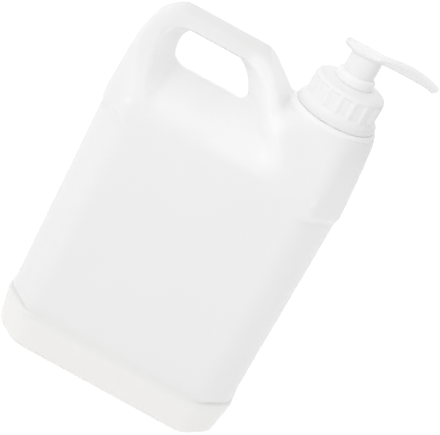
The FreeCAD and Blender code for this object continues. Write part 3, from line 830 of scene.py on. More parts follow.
@dataclass
class BottleForm:
    """Skin of the blow-moulded bottle as one distance field, and the sizes that shape it."""

    half_width: float = 75.0
    half_depth: float = 40.0
    corner_cut: float = 17.0
    wall_blend: float = 1.0
    foot_inset: float = 5.2
    foot_taper: float = 2.8
    foot_rise: float = 5.0
    foot_limit: float = 2.0
    foot_blend: float = 6.0
    band_height: float = 26.2
    band_corner_blend: float = 4.0
    ledge_height: float = 1.6
    panel_inset: float = 1.5
    panel_top: float = 160.2
    panel_corner_blend: float = 5.0
    panel_corner_rise: float = 8.0
    step_top: float = 165.2
    upper_corner_blend: float = 2.2
    upper_corner_drop: float = 4.0
    face_ledge: Span = (21.0, 33.0)
    face_step: Span = (110.0, 178.0)
    rim: float = 173.0
    rim_blend: float = 4.5
    groove_depth: float = 0.75
    groove_width: float = 1.1
    face_groove_depth: float = 0.3
    face_groove_width: float = 3.5
    face_groove_rise: float = 0.5
    pip_height: float = 0.7
    pip_width: float = 2.2
    recess_inset: float = 14.2
    recess_depth: float = 2.0
    recess_blend: float = 3.0
    recess_edge_blend: float = 2.5
    handle_top: float = 226.5
    handle_lean: float = 4.6
    handle_corner: float = 13.5
    bar_right: float = -3.5
    leg_drop: float = 26.0
    leg_run: float = 24.3
    bar_half_depth: float = 11.5
    bar_crown: float = 6.0
    bar_blend: float = 5.0
    bar_end_blend: float = 3.0
    hole_left: float = -51.2
    hole_right: float = -3.4
    hole_low: float = 190.4
    hole_high: float = 215.6
    hole_slant: float = 7.0
    hole_cut: float = 7.0
    flare_left: float = 4.6
    flare_left_lean: float = 0.21
    flare_right: float = 16.5
    flare_floor: float = 12.5
    flare_top: float = 2.0
    flare_round: float = 5.0
    hole_blend: float = 12.0
    hole_edge_blend: float = 2.2
    saddle_blend: float = 8.0
    saddle_rise: Span = (-4.0, 8.0)
    saddle_start: Span = (-3.0, 8.0)
    shoulder_foot_left: float = 2.0
    shoulder_head_left: float = 18.0
    shoulder_head_half: float = 27.2
    shoulder_edge: float = 5.0
    shoulder_cut: float = 16.0
    shoulder_waist: float = 202.0
    shoulder_top: float = 208.0
    shoulder_blend: float = 4.0
    shoulder_top_blend: float = 8.0
    valley_blend: float = 5.0
    boss_radius: float = 25.8
    boss_top: float = 210.8
    boss_root: float = 198.0
    boss_blend: float = 3.0
    boss_foot_blend: float = 3.0
    boss_crease: float = 0.4
    boss_crease_width: float = 0.8
    boss_crease_drop: float = 3.0
    boss_crease_turn: Span = (0.2, 0.6)
    boss_crease_reach: Span = (2.0, 4.0)
    well_radius: float = 15.2
    well_floor: float = 5.0
    slope_reach: float = 0.05
    settle_rounds: int = 4
    settle_step: float = 0.8

    @property
    def ledge_top(self) -> float:
        """Height of the groove above the foot's band."""
        return self.band_height + self.ledge_height

    @property
    def facet_reach(self) -> float:
        """Distances across and along added up, where the corner facets stand."""
        return self.half_width + self.half_depth - self.corner_cut

    @property
    def face_slope(self) -> float:
        """How far the handle's faces lean in for each millimetre of height."""
        return (self.half_depth - self.bar_half_depth) / (self.handle_top - self.rim - self.bar_crown)

    def inset(self, z: Array, ledge: Span, step: Span) -> Array:
        """How far the walls stand in from the widest outline at a height.

        Formula: the foot draws in along two slopes, the label panel stands back between two smooth steps.

        Args:
            z: Heights.
            ledge: Heights between which the wall draws in above the foot's band.
            step: Heights between which it leans out again under the shoulder.

        Returns:
            Insets.
        """
        taper = self.foot_taper * np.clip((self.band_height - z) / (self.band_height - self.foot_rise), 0.0, 1.0)
        below = np.clip((self.foot_rise - z) / self.foot_rise, 0.0, self.foot_limit)
        turn_in = (self.foot_inset - self.foot_taper) * below
        return taper + turn_in + self.panel_inset * (ramp(z, *ledge) - ramp(z, *step))

    def facets(self, at: Places) -> Array:
        """Distance from the corner facets: a place's distances across and along added up, less their reach."""
        return (np.abs(at.x) + np.abs(at.y) - self.facet_reach) / DIAGONAL

    def plan(self, at: Places) -> Array:
        """Distance from the upright walls.

        Formula: sides and corner facets step out sharply under the shoulder, while the faces lean out over a long
        stretch. A groove runs above the foot's band. The edges between the walls are rounded, most of all on the
        label panel.

        Args:
            at: Places.

        Returns:
            Field below 0 inside.
        """
        inset = self.inset(at.z, (self.band_height, self.ledge_top), (self.panel_top, self.step_top))
        groove = self.groove_depth * bell(at.z, self.ledge_top, self.groove_width)
        face_inset = self.inset(at.z, self.face_ledge, self.face_step)
        face_groove = bell(at.z, self.ledge_top + self.face_groove_rise, self.face_groove_width)
        side = np.abs(at.x) - self.half_width + inset + groove
        face = np.abs(at.y) - self.half_depth + face_inset + self.face_groove_depth * face_groove
        facet = self.facets(at) + inset + groove
        lower = ramp(at.z, self.band_height, self.ledge_top + self.panel_corner_rise)
        upper = ramp(at.z, self.panel_top - self.upper_corner_drop, self.step_top)
        blend = self.band_corner_blend + (self.panel_corner_blend - self.band_corner_blend) * lower
        blend = blend + (self.upper_corner_blend - self.panel_corner_blend) * upper
        return soft_max(soft_max(side, face, self.wall_blend), facet, blend)

    def tent(self, at: Places) -> Array:
        """Distance from the handle's block.

        Formula: leaning faces meet a rounded bar, between a leaning left end with a cut corner and a slanting leg
        on the right. The largest of the distances from these planes counts, with rounded edges.

        Args:
            at: Places.

        Returns:
            Field below 0 inside.
        """
        rise = self.handle_top - self.rim
        slope = self.face_slope
        face = (np.abs(at.y) - self.half_depth + slope * (at.z - self.rim)) / math.hypot(1.0, slope)
        crown = (np.abs(at.y) + at.z - self.bar_half_depth + self.bar_crown - self.handle_top) / DIAGONAL
        bar = soft_max(soft_max(face, crown, self.bar_blend), at.z - self.handle_top, self.bar_blend)
        lean = self.handle_lean / (rise - self.handle_corner)
        left = (-self.half_width + lean * (at.z - self.rim) - at.x) / math.hypot(1.0, lean)
        corner_sum = self.half_width - self.handle_lean + self.handle_top - self.handle_corner
        corner = (at.z - at.x - corner_sum) / DIAGONAL
        leg_length = math.hypot(self.leg_run, self.leg_drop)
        leg = ((at.x - self.bar_right) * self.leg_drop + (at.z - self.handle_top) * self.leg_run) / leg_length
        ends = soft_max(soft_max(left, corner, self.bar_blend), leg, self.wall_blend)
        return soft_max(bar, ends, self.bar_end_blend)

    def shoulder(self, at: Places) -> Array:
        """Distance from the tower under the neck.

        Formula: walls and facets lean from their place at the foot to their place at the head, under a flat top.
        The largest of the distances from these planes counts, with rounded edges.

        Args:
            at: Places.

        Returns:
            Field below 0 inside.
        """
        rise = self.shoulder_waist - self.rim
        climb = (at.z - self.rim) / rise
        depth = np.abs(at.y)
        head_right = NECK_X + self.shoulder_head_half

        def leaning(reach: Array, foot: float, head: float, spread: float = 1.0) -> Array:
            """Distance from a wall that leans from one reach at the foot to another at the head."""
            return (reach - foot - (head - foot) * climb) / math.hypot(spread, (head - foot) / rise)

        left = leaning(-at.x, -self.shoulder_foot_left, -self.shoulder_head_left)
        right = leaning(at.x, self.half_width, head_right)
        face = leaning(depth, self.half_depth, self.shoulder_head_half)
        head_facet = head_right + self.shoulder_head_half - self.shoulder_cut
        facet = leaning(at.x + depth, self.facet_reach, head_facet, DIAGONAL)
        foot_edge = self.half_depth - self.shoulder_foot_left - self.shoulder_edge
        head_edge = self.shoulder_head_half - self.shoulder_head_left - self.shoulder_edge
        edge = leaning(depth - at.x, foot_edge, head_edge, DIAGONAL)
        walls = soft_max(left, right, self.wall_blend)
        for wall in (face, facet, edge):
            walls = soft_max(walls, wall, self.shoulder_blend)
        return soft_max(walls, at.z - self.shoulder_top, self.shoulder_top_blend)

    def hole(self, at: Places) -> Array:
        """Distance from the hand hole.

        Formula: four walls, narrowest in the middle of the depth. The sides flare with the rounded share of the
        way to the handle's leaning face, and the floor and ceiling with the rounded share of the whole depth.

        Args:
            at: Places.

        Returns:
            Field below 0 inside the hole.
        """
        rounding = self.flare_round
        face = np.clip(self.half_depth - self.face_slope * (at.z - self.rim), self.bar_half_depth, self.half_depth)
        from_waist = np.hypot(at.y, rounding) - rounding
        side_flare = from_waist / (np.hypot(face, rounding) - rounding)
        end_flare = from_waist / (math.hypot(self.half_depth, rounding) - rounding)
        above = at.z - self.hole_low
        left = self.hole_left - side_flare * (self.flare_left + self.flare_left_lean * above) - at.x
        tilt = self.hole_slant / (self.hole_high - self.hole_low - 2.0 * self.hole_cut)
        far = self.hole_right + self.flare_right * side_flare - tilt * (above - self.hole_cut)
        right = (at.x - far) / math.hypot(1.0, tilt)
        floor = self.hole_low - self.flare_floor * end_flare - at.z
        ceiling = at.z - self.hole_high - self.flare_top * end_flare
        sides = soft_max(left, right, self.wall_blend)
        return soft_max(sides, soft_max(floor, ceiling, self.wall_blend), self.hole_blend)

    def hole_edge(self, at: Places) -> Array:
        """Rounding of the hole's edge: crisp on the left and above, wide over the saddle below.

        Args:
            at: Places.

        Returns:
            Width of the rounded zone.
        """
        below = 1.0 - ramp(at.z - self.hole_low, *self.saddle_rise)
        beside = ramp(at.x - self.hole_left, *self.saddle_start)
        return self.hole_edge_blend + (self.saddle_blend - self.hole_edge_blend) * below * beside

    def distance(self, at: Places) -> Array:
        """Distance field of the whole skin.

        Formula: the walls, cut by the roof that the handle's block and the shoulder make together, less the hand
        hole and the hollow under the base, with the neck's boss and the corner pips added and the well taken out.

        Args:
            at: Places.

        Returns:
            Field below 0 inside.
        """
        walls = soft_max(self.plan(at), -at.z, self.foot_blend)
        roof = soft_min(self.tent(at), self.shoulder(at), self.valley_blend)
        skin = soft_max(walls, roof, self.rim_blend)
        skin = soft_max(skin, -self.hole(at), self.hole_edge(at))
        outer = np.maximum(np.abs(at.x) - self.half_width, np.abs(at.y) - self.half_depth)
        outer = soft_max(outer, self.facets(at), self.recess_blend)
        hollow = soft_max(outer + self.recess_inset, at.z - self.recess_depth, self.recess_blend)
        skin = soft_max(skin, -hollow, self.recess_edge_blend)
        from_axis = np.hypot(at.x - NECK_X, at.y)
        boss = soft_max(from_axis - self.boss_radius, at.z - self.boss_top, self.boss_blend)
        boss = np.maximum(boss, self.boss_root - at.z)
        skin = soft_min(skin, boss, self.boss_foot_blend) + self.boss_crease * self.boss_foot(at)
        well = np.maximum(from_axis - self.well_radius, self.well_floor - at.z)
        return np.maximum(skin - self.pips(at), -well)

    def boss_foot(self, at: Places) -> Array:
        """Crease round the right of the boss.

        Formula: a bell of the height below the boss's top, near its wall, which fades out towards the left.

        Args:
            at: Places.

        Returns:
            Strength from 0 to 1.
        """
        from_axis = np.hypot(at.x - NECK_X, at.y)
        towards_right = ramp((at.x - NECK_X) / np.maximum(from_axis, 1.0), *self.boss_crease_turn)
        near = 1.0 - ramp(from_axis - self.boss_radius, *self.boss_crease_reach)
        return towards_right * near * bell(at.z, self.boss_top - self.boss_crease_drop, self.boss_crease_width)

    def pips(self, at: Places) -> Array:
        """Small humps where the faces, corner facets and roof meet: a bell of the distance from that corner.

        Args:
            at: Places.

        Returns:
            Height of the humps.
        """
        across = np.abs(at.x) - self.half_width + self.corner_cut
        along = np.abs(at.y) - self.half_depth
        away = np.sqrt(across ** 2 + along ** 2 + (at.z - self.rim) ** 2)
        return self.pip_height * bell(away, 0.0, self.pip_width)

    def slope(self, points: Array) -> Array:
        """Direction in which the field rises fastest, from its differences over a short reach.

        Args:
            points: Points near the surface.

        Returns:
            Unit vectors.
        """
        steps = self.slope_reach * np.eye(3)
        rises = [
            self.distance(Places(*(points + step).T)) - self.distance(Places(*(points - step).T)) for step in steps
        ]
        rise = np.stack(rises, axis=1) / (2.0 * self.slope_reach)
        return rise / np.linalg.norm(rise, axis=1, keepdims=True)

    def settle(self, points: Array) -> Array:
        """Moves points onto the surface by the field's value against its slope, in short steps.

        Args:
            points: Points near the surface.

        Returns:
            Points on it.
        """
        for _ in range(self.settle_rounds):
            step = np.clip(self.distance(Places(*points.T)), -self.settle_step, self.settle_step)
            points = points - step[:, None] * self.slope(points)
        return points


@dataclass
class SkinMarks:
    """Where painted shade and painted light lie on the bottle's skin: painted shade in its grooves and on the
    handle, painted light on its lips, hole, leg, boss and pips.
    """

    form: BottleForm
    # Spans and strengths of the painted shade in grooves and of the painted light on lips, the hand hole, the leg,
    # the boss and the pips.
    facing: Span = (0.86, 0.985)
    groove_drop: float = 0.2
    face_groove: float = 0.6
    lip_width: float = 1.9
    lip_on_left: float = 0.4
    lip_turn: Span = (-20.0, 20.0)
    under_lip: float = 0.4
    under_lip_drop: float = 1.0
    under_lip_width: float = 1.0
    hole_reach: Span = (0.3, 5.0)
    hole_wall_reach: Span = (0.05, 0.8)
    hole_left: float = 0.9
    hole_left_run: Span = (0.0, 10.0)
    saddle_rise: Span = (5.0, 15.0)
    saddle_start: Span = (-2.0, 8.0)
    leg_side_start: Span = (-12.0, -2.0)
    leg_side_reach: Span = (2.0, 9.0)
    leg_face: float = 0.7
    leg_face_turn: Span = (0.3, 0.6)
    leg_face_rise: Span = (192.0, 200.0)
    leg_face_start: Span = (-8.0, -3.0)
    leg_face_end: Span = (14.0, 24.0)
    boss_rise: Span = (-5.0, -2.0)
    boss_start: Span = (12.0, 20.0)
    # Strength of the painted shade at the boss's foot.
    boss_crease: float = 0.6
    # Painted shade on the handle, stronger where it faces up.
    handle: float = 0.66
    handle_left_loss: float = 0.28
    handle_left_end: Span = (-66.0, -52.0)
    handle_top_gain: float = 0.34
    handle_top_turn: Span = (0.6, 0.9)
    handle_rise: Span = (178.0, 212.0)
    handle_end: Span = (-6.0, 8.0)

    def crease_shade(self, at: Places, facing: Array) -> Array:
        """How strongly painted shade darkens each point.

        Formula: the largest of a bell of the height about the groove, narrow on the sides and corner facets and
        wide and weak on the faces, a weak bell under the step's lip, and a bell at the boss's foot.

        Args:
            at: Points of the skin.
            facing: How far each one belongs to a face.

        Returns:
            Strength from 0 to 1.
        """
        form = self.form
        sharp = bell(at.z, form.ledge_top - self.groove_drop, form.groove_width)
        soft = self.face_groove * bell(at.z, form.ledge_top, form.face_groove_width)
        lip = bell(at.z, form.panel_top - self.under_lip_drop, self.under_lip_width)
        under_lip = self.under_lip * (1.0 - facing) * lip
        return np.max((sharp + (soft - sharp) * facing, self.boss_crease * form.boss_foot(at), under_lip), axis=0)

    def painted_light_strength(self, at: Places, normals: Array, facing: Array) -> Array:
        """How strongly painted light and painted highlights brighten each point.

        Formula: the largest of six strengths. These are the lip of the upper step on the sides and facets, weaker
        on the left, the hand hole's left wall and saddle, the leg beside the hole, the leg's face that looks right,
        the boss above its creased foot, and the corner pips.

        Args:
            at: Points of the skin.
            normals: Their normals.
            facing: How far each one belongs to a face.

        Returns:
            Strength from 0 to 1.
        """
        form = self.form
        lip = (1.0 - facing) * bell(at.z, 0.5 * (form.panel_top + form.step_top), self.lip_width)
        lip = lip * (self.lip_on_left + (1.0 - self.lip_on_left) * ramp(at.x, *self.lip_turn))
        away = form.hole(at)
        from_left = at.x - form.hole_left
        left_wall = self.hole_left * (1.0 - ramp(away, *self.hole_wall_reach))
        left_wall = left_wall * (1.0 - ramp(from_left, *self.hole_left_run))
        saddle = (1.0 - ramp(at.z - form.hole_low, *self.saddle_rise)) * ramp(from_left, *self.saddle_start)
        inner = (1.0 - ramp(away, *self.hole_reach)) * np.maximum(left_wall, saddle)
        leg_side = ramp(at.x - form.hole_right, *self.leg_side_start) * (1.0 - ramp(away, *self.leg_side_reach))
        leg_face = self.leg_face * ramp(normals[:, 0], *self.leg_face_turn) * ramp(at.z, *self.leg_face_rise)
        leg_face = leg_face * ramp(at.x, *self.leg_face_start) * (1.0 - ramp(at.x, *self.leg_face_end))
        boss = ramp(at.z - form.boss_top, *self.boss_rise) * ramp(at.x, *self.boss_start)
        boss = boss * (1.0 - form.boss_foot(at))
        return np.max((lip, inner, leg_side, leg_face, boss, form.pips(at) / form.pip_height), axis=0)

    def handle_shade(self, at: Places, normals: Array) -> Array:
        """How strongly painted shade darkens the handle at each point.

        Formula: a share that rises with the height and ends at the leg, lower on the left leg and higher where it
        faces up.

        Args:
            at: Points of the skin.
            normals: Their normals.

        Returns:
            Strength from 0 to 1.
        """
        left_leg = 1.0 - ramp(at.x, *self.handle_left_end)
        upward = ramp(normals[:, 2], *self.handle_top_turn)
        share = self.handle - self.handle_left_loss * left_leg + self.handle_top_gain * upward * (1.0 - left_leg)
        return share * ramp(at.z, *self.handle_rise) * (1.0 - ramp(at.x, *self.handle_end))

    def traits(self, skin: Surface) -> dict[Trait, Array]:
        """Works out all the painted shade and painted light.

        Args:
            skin: The bottle's skin with its normals.

        Returns:
            Strength of each mark at each point.
        """
        at = Places(*skin.points.T)
        facing = ramp(np.abs(skin.normals[:, 1]), *self.facing)
        return {
            Trait.PAINTED_SHADE: self.crease_shade(at, facing),
            Trait.PAINTED_LIGHT: self.painted_light_strength(at, skin.normals, facing),
            Trait.HANDLE_SHADE: self.handle_shade(at, skin.normals),
        }


@dataclass
class Bottle:
    """Bottle with its threaded neck."""

    form: BottleForm = field(default_factory=BottleForm)
    spacing: float = 1.2
    fine_rise: float = 1.0
    crisp_rise: float = 0.5
    panel_rise: float = 3.0
    lattice_low: float = -1.5
    groove_levels: Span = (24.5, 31.0)
    panel_levels: Span = (35.0, 158.0)
    step_levels: Span = (159.0, 166.5)
    handle_low: float = 177.5
    neck_radius: float = 17.45
    neck_bore: float = 15.2
    neck_low: float = 206.0
    neck_rim: float = 227.2
    thread_pitch: float = 4.23
    thread_depth: float = 1.15
    thread_half_root: float = 0.9
    thread_half_tip: float = 0.45
    thread_turns: float = 1.25
    thread_rise: float = 5.6
    thread_lead: float = 0.06
    neck_columns: int = 256

    def lattice(self) -> Lattice:
        """Lays out a lattice that is crisp at the groove and the step, fine elsewhere and tall on the plain panel.

        Returns:
            The lattice.
        """
        margin = 2.0 * self.spacing
        levels = (
            (self.lattice_low, self.groove_levels[0], self.fine_rise),
            (*self.groove_levels, self.crisp_rise),
            (self.groove_levels[1], self.panel_levels[0], self.fine_rise),
            (*self.panel_levels, self.panel_rise),
            (self.panel_levels[1], self.step_levels[0], self.fine_rise),
            (*self.step_levels, self.crisp_rise),
            (self.step_levels[1], self.handle_low, self.fine_rise),
            (self.handle_low, self.form.handle_top + margin, self.spacing),
        )
        runs = [np.arange(low, high - HAIRS_BREADTH, rise) for low, high, rise in levels]
        width, depth = self.form.half_width + margin, self.form.half_depth + margin
        across = np.arange(-width, width + self.spacing, self.spacing)
        along = np.arange(-depth, depth + self.spacing, self.spacing)
        return Lattice(across, along, np.concatenate(runs))

    def build_skin(self) -> bpy.types.Object:
        """Makes the bottle's skin with its painted shade and painted light.

        Returns:
            The skin.
        """
        skin = self.lattice().surface(self.form)
        skin.traits = SkinMarks(self.form).traits(skin)
        return skin.piece("bottle_skin")

    def build_neck(self) -> bpy.types.Object:
        """Makes the neck with its rim, bore and thread.

        Formula: the neck's outline is turned about its axis, and its outer wall swells by the thread's depth where
        it is within half a thread of a line that climbs one pitch each turn.

        Returns:
            The neck.
        """
        outline = rounded_outline([
            Corner(self.neck_bore, self.neck_low), Corner(self.neck_radius, self.neck_low),
            Corner(self.neck_radius, self.neck_rim, rounding=0.5),
            Corner(self.neck_bore, self.neck_rim, rounding=0.4),
        ], longest=0.3)
        angles = even_angles(self.neck_columns)
        turn = angles[:, None] / FULL_TURN
        start = self.form.boss_top + self.thread_rise
        lap = np.clip(np.round((outline[None, :, 1] - start) / self.thread_pitch - turn), 0.0, 1.0)
        travelled = lap + turn
        away = np.abs(outline[None, :, 1] - start - self.thread_pitch * travelled)
        ridge = 1.0 - ramp(away, self.thread_half_tip, self.thread_half_root)
        run_in = ramp(travelled, 0.0, self.thread_lead)
        run_out = 1.0 - ramp(travelled, self.thread_turns - self.thread_lead, self.thread_turns)
        outer = outline[None, :, 0] > self.neck_radius - HAIRS_BREADTH
        return turned(outline, angles, self.thread_depth * ridge * (run_in * run_out) * outer).piece("bottle_neck")

    def dress(self, finish: Finish) -> None:
        """Builds both pieces in their finish and hangs them on the bottle's body."""
        for piece in (self.build_skin(), self.build_neck()):
            dress_piece(piece, finish, Body.BOTTLE, "bottle")


# Pump


@dataclass
class Closure:
    """Ribbed screw collar with its flared foot and rounded crown."""

    base: float = 210.87
    top: float = 231.5
    radius: float = 21.1
    foot_radius: float = 23.6
    foot_height: float = 3.0
    flare_height: float = 2.6
    crown_drop: float = 1.8
    crown_inset: float = 8.4
    bore: float = 18.95
    hole: float = 10.6
    plate: float = 1.6
    ribs: int = 16
    rib_half_width: float = 0.5
    rib_turn: float = math.radians(-95.2)
    flute_edge: float = 1.7
    flute_depth: float = 0.85
    flute_low: float = 217.2
    flute_high: float = 227.6
    flute_fade: Span = (-0.5, 0.5)
    wall_from_bore: float = 0.4
    # Strengths of the painted light on the fluted wall and of the painted shade on the foot.
    wall_painted_light: float = 0.3
    foot_shade: float = 0.25
    foot_fade: Span = (0.0, 2.0)
    columns_per_rib: int = 24

    def build(self) -> bpy.types.Object:
        """Makes the collar.

        Formula: its outline is turned about the axis, and its outer wall draws in by a smooth flute between each
        two of the evenly spaced ribs, which ends short of the foot and the crown. The fluted wall gets a little
        painted light, and the foot a weak painted shade.

        Returns:
            The collar.
        """
        foot_top = self.base + self.foot_height
        outline = rounded_outline([
            Corner(self.bore, self.base, rounding=0.3), Corner(self.foot_radius, self.base, rounding=0.25),
            Corner(self.foot_radius, foot_top, rounding=0.9),
            Corner(self.radius, foot_top + self.flare_height, rounding=1.6),
            Corner(self.radius, self.top - self.crown_drop, rounding=3.2),
            Corner(self.radius - self.crown_inset, self.top, rounding=1.5),
            Corner(self.hole, self.top, rounding=0.3), Corner(self.hole, self.top - self.plate, rounding=0.2),
            Corner(self.bore, self.top - self.plate, rounding=0.8),
        ], longest=0.6, steps=9)
        angles = even_angles(self.ribs * self.columns_per_rib)
        pitch = FULL_TURN / self.ribs
        from_rib = np.abs((angles - self.rib_turn + 0.5 * pitch) % pitch - 0.5 * pitch) * self.radius
        flute = ramp(from_rib, self.rib_half_width, self.rib_half_width + self.flute_edge)
        radius, height = outline.T
        outer = radius > self.bore + self.wall_from_bore
        fluted = outer * ramp(height - self.flute_low, *self.flute_fade)
        fluted = fluted * (1.0 - ramp(height - self.flute_high, *self.flute_fade))
        collar = turned(outline, angles, -self.flute_depth * np.outer(flute, fluted))
        on_foot = outer * (1.0 - ramp(height - foot_top, *self.foot_fade))
        # Painted light on the fluted wall and painted shade on the foot.
        collar.traits[Trait.PAINTED_LIGHT] = np.tile(self.wall_painted_light * fluted, len(angles))
        collar.traits[Trait.PAINTED_SHADE] = np.tile(self.foot_shade * on_foot, len(angles))
        return collar.piece("collar")

    def dress(self, finish: Finish) -> None:
        """Builds the collar in its finish and hangs it on the closure's body."""
        dress_piece(self.build(), finish, Body.CLOSURE, "closure")


@dataclass
class LockRing:
    """Raised ring on the collar that guides the head's skirt."""

    base: float = 220.8
    seat: float = 231.53
    top: float = 237.6
    cone_drop: float = 1.4
    radius: float = 11.15
    bore: float = 9.17
    skirt: float = 10.25
    floor: float = 2.0
    stem_hole: float = 4.85
    # Strength of the painted light on the ring.
    painted_light_strength: float = 0.8
    columns: int = 192

    def build(self) -> bpy.types.Object:
        """Makes the ring: its rounded outline turned about the axis, with painted light all over.

        Returns:
            The ring.
        """
        floor_top = self.base + self.floor
        outline = rounded_outline([
            Corner(self.stem_hole, self.base, rounding=0.2), Corner(self.skirt, self.base, rounding=0.4),
            Corner(self.skirt, self.seat), Corner(self.radius, self.seat, rounding=0.2),
            Corner(self.radius, self.top - self.cone_drop, rounding=0.9),
            Corner(self.bore, self.top, rounding=0.05),
            Corner(self.bore, floor_top, rounding=0.3), Corner(self.stem_hole, floor_top, rounding=0.2),
        ], longest=0.8, steps=7)
        ring = turned(outline, even_angles(self.columns))
        # Painted light all over the ring.
        ring.traits[Trait.PAINTED_LIGHT] = np.full(len(ring.points), self.painted_light_strength)
        return ring.piece("guide_ring")

    def dress(self, finish: Finish) -> None:
        """Builds the ring in its finish and hangs it on the pump unit."""
        dress_piece(self.build(), finish, Body.PUMP_UNIT, "lock_ring")


class Station(NamedTuple):
    """Section of the pad and spout at a place from the neck's axis, with heights above the pad's underside.

    The undercut is the share by which the underside is narrower, and the dish is how far the rim rises above the
    top's middle.
    """

    place: float | Array
    half_width: float | Array
    undercut: float | Array
    underside: float | Array
    top: float | Array
    dish: float | Array


HEAD_STATIONS = (
    Station(place=-14.8, half_width=5.0, undercut=0.3, underside=0.75, top=2.5, dish=1.2),
    Station(place=-12.5, half_width=6.6, undercut=0.26, underside=0.4, top=1.85, dish=1.3),
    Station(place=-10.8, half_width=7.7, undercut=0.2, underside=0.2, top=1.4, dish=1.4),
    Station(place=-8.5, half_width=8.9, undercut=0.13, underside=0.05, top=1.05, dish=1.4),
    Station(place=-5.0, half_width=9.75, undercut=0.06, underside=0.0, top=0.95, dish=1.4),
    Station(place=-1.0, half_width=9.85, undercut=0.06, underside=0.0, top=0.95, dish=1.4),
    Station(place=4.0, half_width=9.1, undercut=0.08, underside=0.0, top=1.3, dish=1.2),
    Station(place=10.0, half_width=5.6, undercut=0.14, underside=0.0, top=3.4, dish=0.3),
    Station(place=16.0, half_width=4.8, undercut=0.22, underside=0.0, top=4.8, dish=0.0),
    Station(place=24.0, half_width=4.4, undercut=0.25, underside=0.0, top=5.6, dish=0.0),
    Station(place=31.0, half_width=4.1, undercut=0.25, underside=-0.1, top=5.2, dish=0.0),
    Station(place=37.0, half_width=3.8, undercut=0.22, underside=-0.4, top=4.1, dish=0.0),
    Station(place=42.6, half_width=3.4, undercut=0.15, underside=-1.15, top=2.2, dish=0.0),
)


@dataclass
class HeadMarks:
    """Where painted shade and painted light lie on the pad and spout."""

    # Spans and strengths of the painted light in the dish and of the painted shade on the rim, walls and spout.
    upper: Span = (0.2, 0.6)
    crown: Span = (0.7, 0.97)
    spout_root: Span = (4.0, 9.0)
    rear: Span = (-12.0, -7.0)
    dish_side: Span = (0.74, 0.86)
    dish_rear: Span = (-14.0, -11.5)
    rim: float = 0.5
    rim_place: float = 0.91
    rim_width: float = 0.05
    wall: float = 0.2
    rear_wall: float = 0.35
    spout_side: float = 0.14
    spout_top: float = 0.3
    spout_top_turn: Span = (0.1, 0.7)
    spout_top_end: Span = (26.0, 38.0)

    def traits(self, place: Array, across: Array, upright: Array) -> dict[Trait, Array]:
        """Works out the marks of a grid of sections.

        Formula: the dish gets painted light. The pad's rim and outer wall, most of all at the rear, the sides of
        the spout and its top near the root get painted shade.

        Args:
            place: Place of each section along the spout.
            across: Places across a section, from -1 to 1.
            upright: Heights on a section, from -1 to 1.

        Returns:
            Strength of each mark on the grid.
        """
        place = place[:, None]
        side = np.abs(across)
        upper = ramp(upright, *self.upper)
        spout = ramp(place, *self.spout_root)
        dish = (1.0 - ramp(side, *self.dish_side)) * ramp(place, *self.dish_rear)
        rim = self.rim * (1.0 - spout) * upper * bell(side, self.rim_place, self.rim_width)
        at_rear = 1.0 - ramp(place, *self.rear)
        wall = (self.wall * (1.0 - spout) + self.rear_wall * at_rear) * (1.0 - upper)
        below_crown = 1.0 - ramp(upright, *self.crown)
        near_root = 1.0 - ramp(place, *self.spout_top_end)
        spout_top = self.spout_top * ramp(upright, *self.spout_top_turn) * near_root
        # Painted shade on the rim, walls and spout, and painted light in the dish.
        crease = rim + wall + spout * (self.spout_side * below_crown + spout_top)
        return {Trait.PAINTED_LIGHT: (1.0 - spout) * upper * dish, Trait.PAINTED_SHADE: crease}


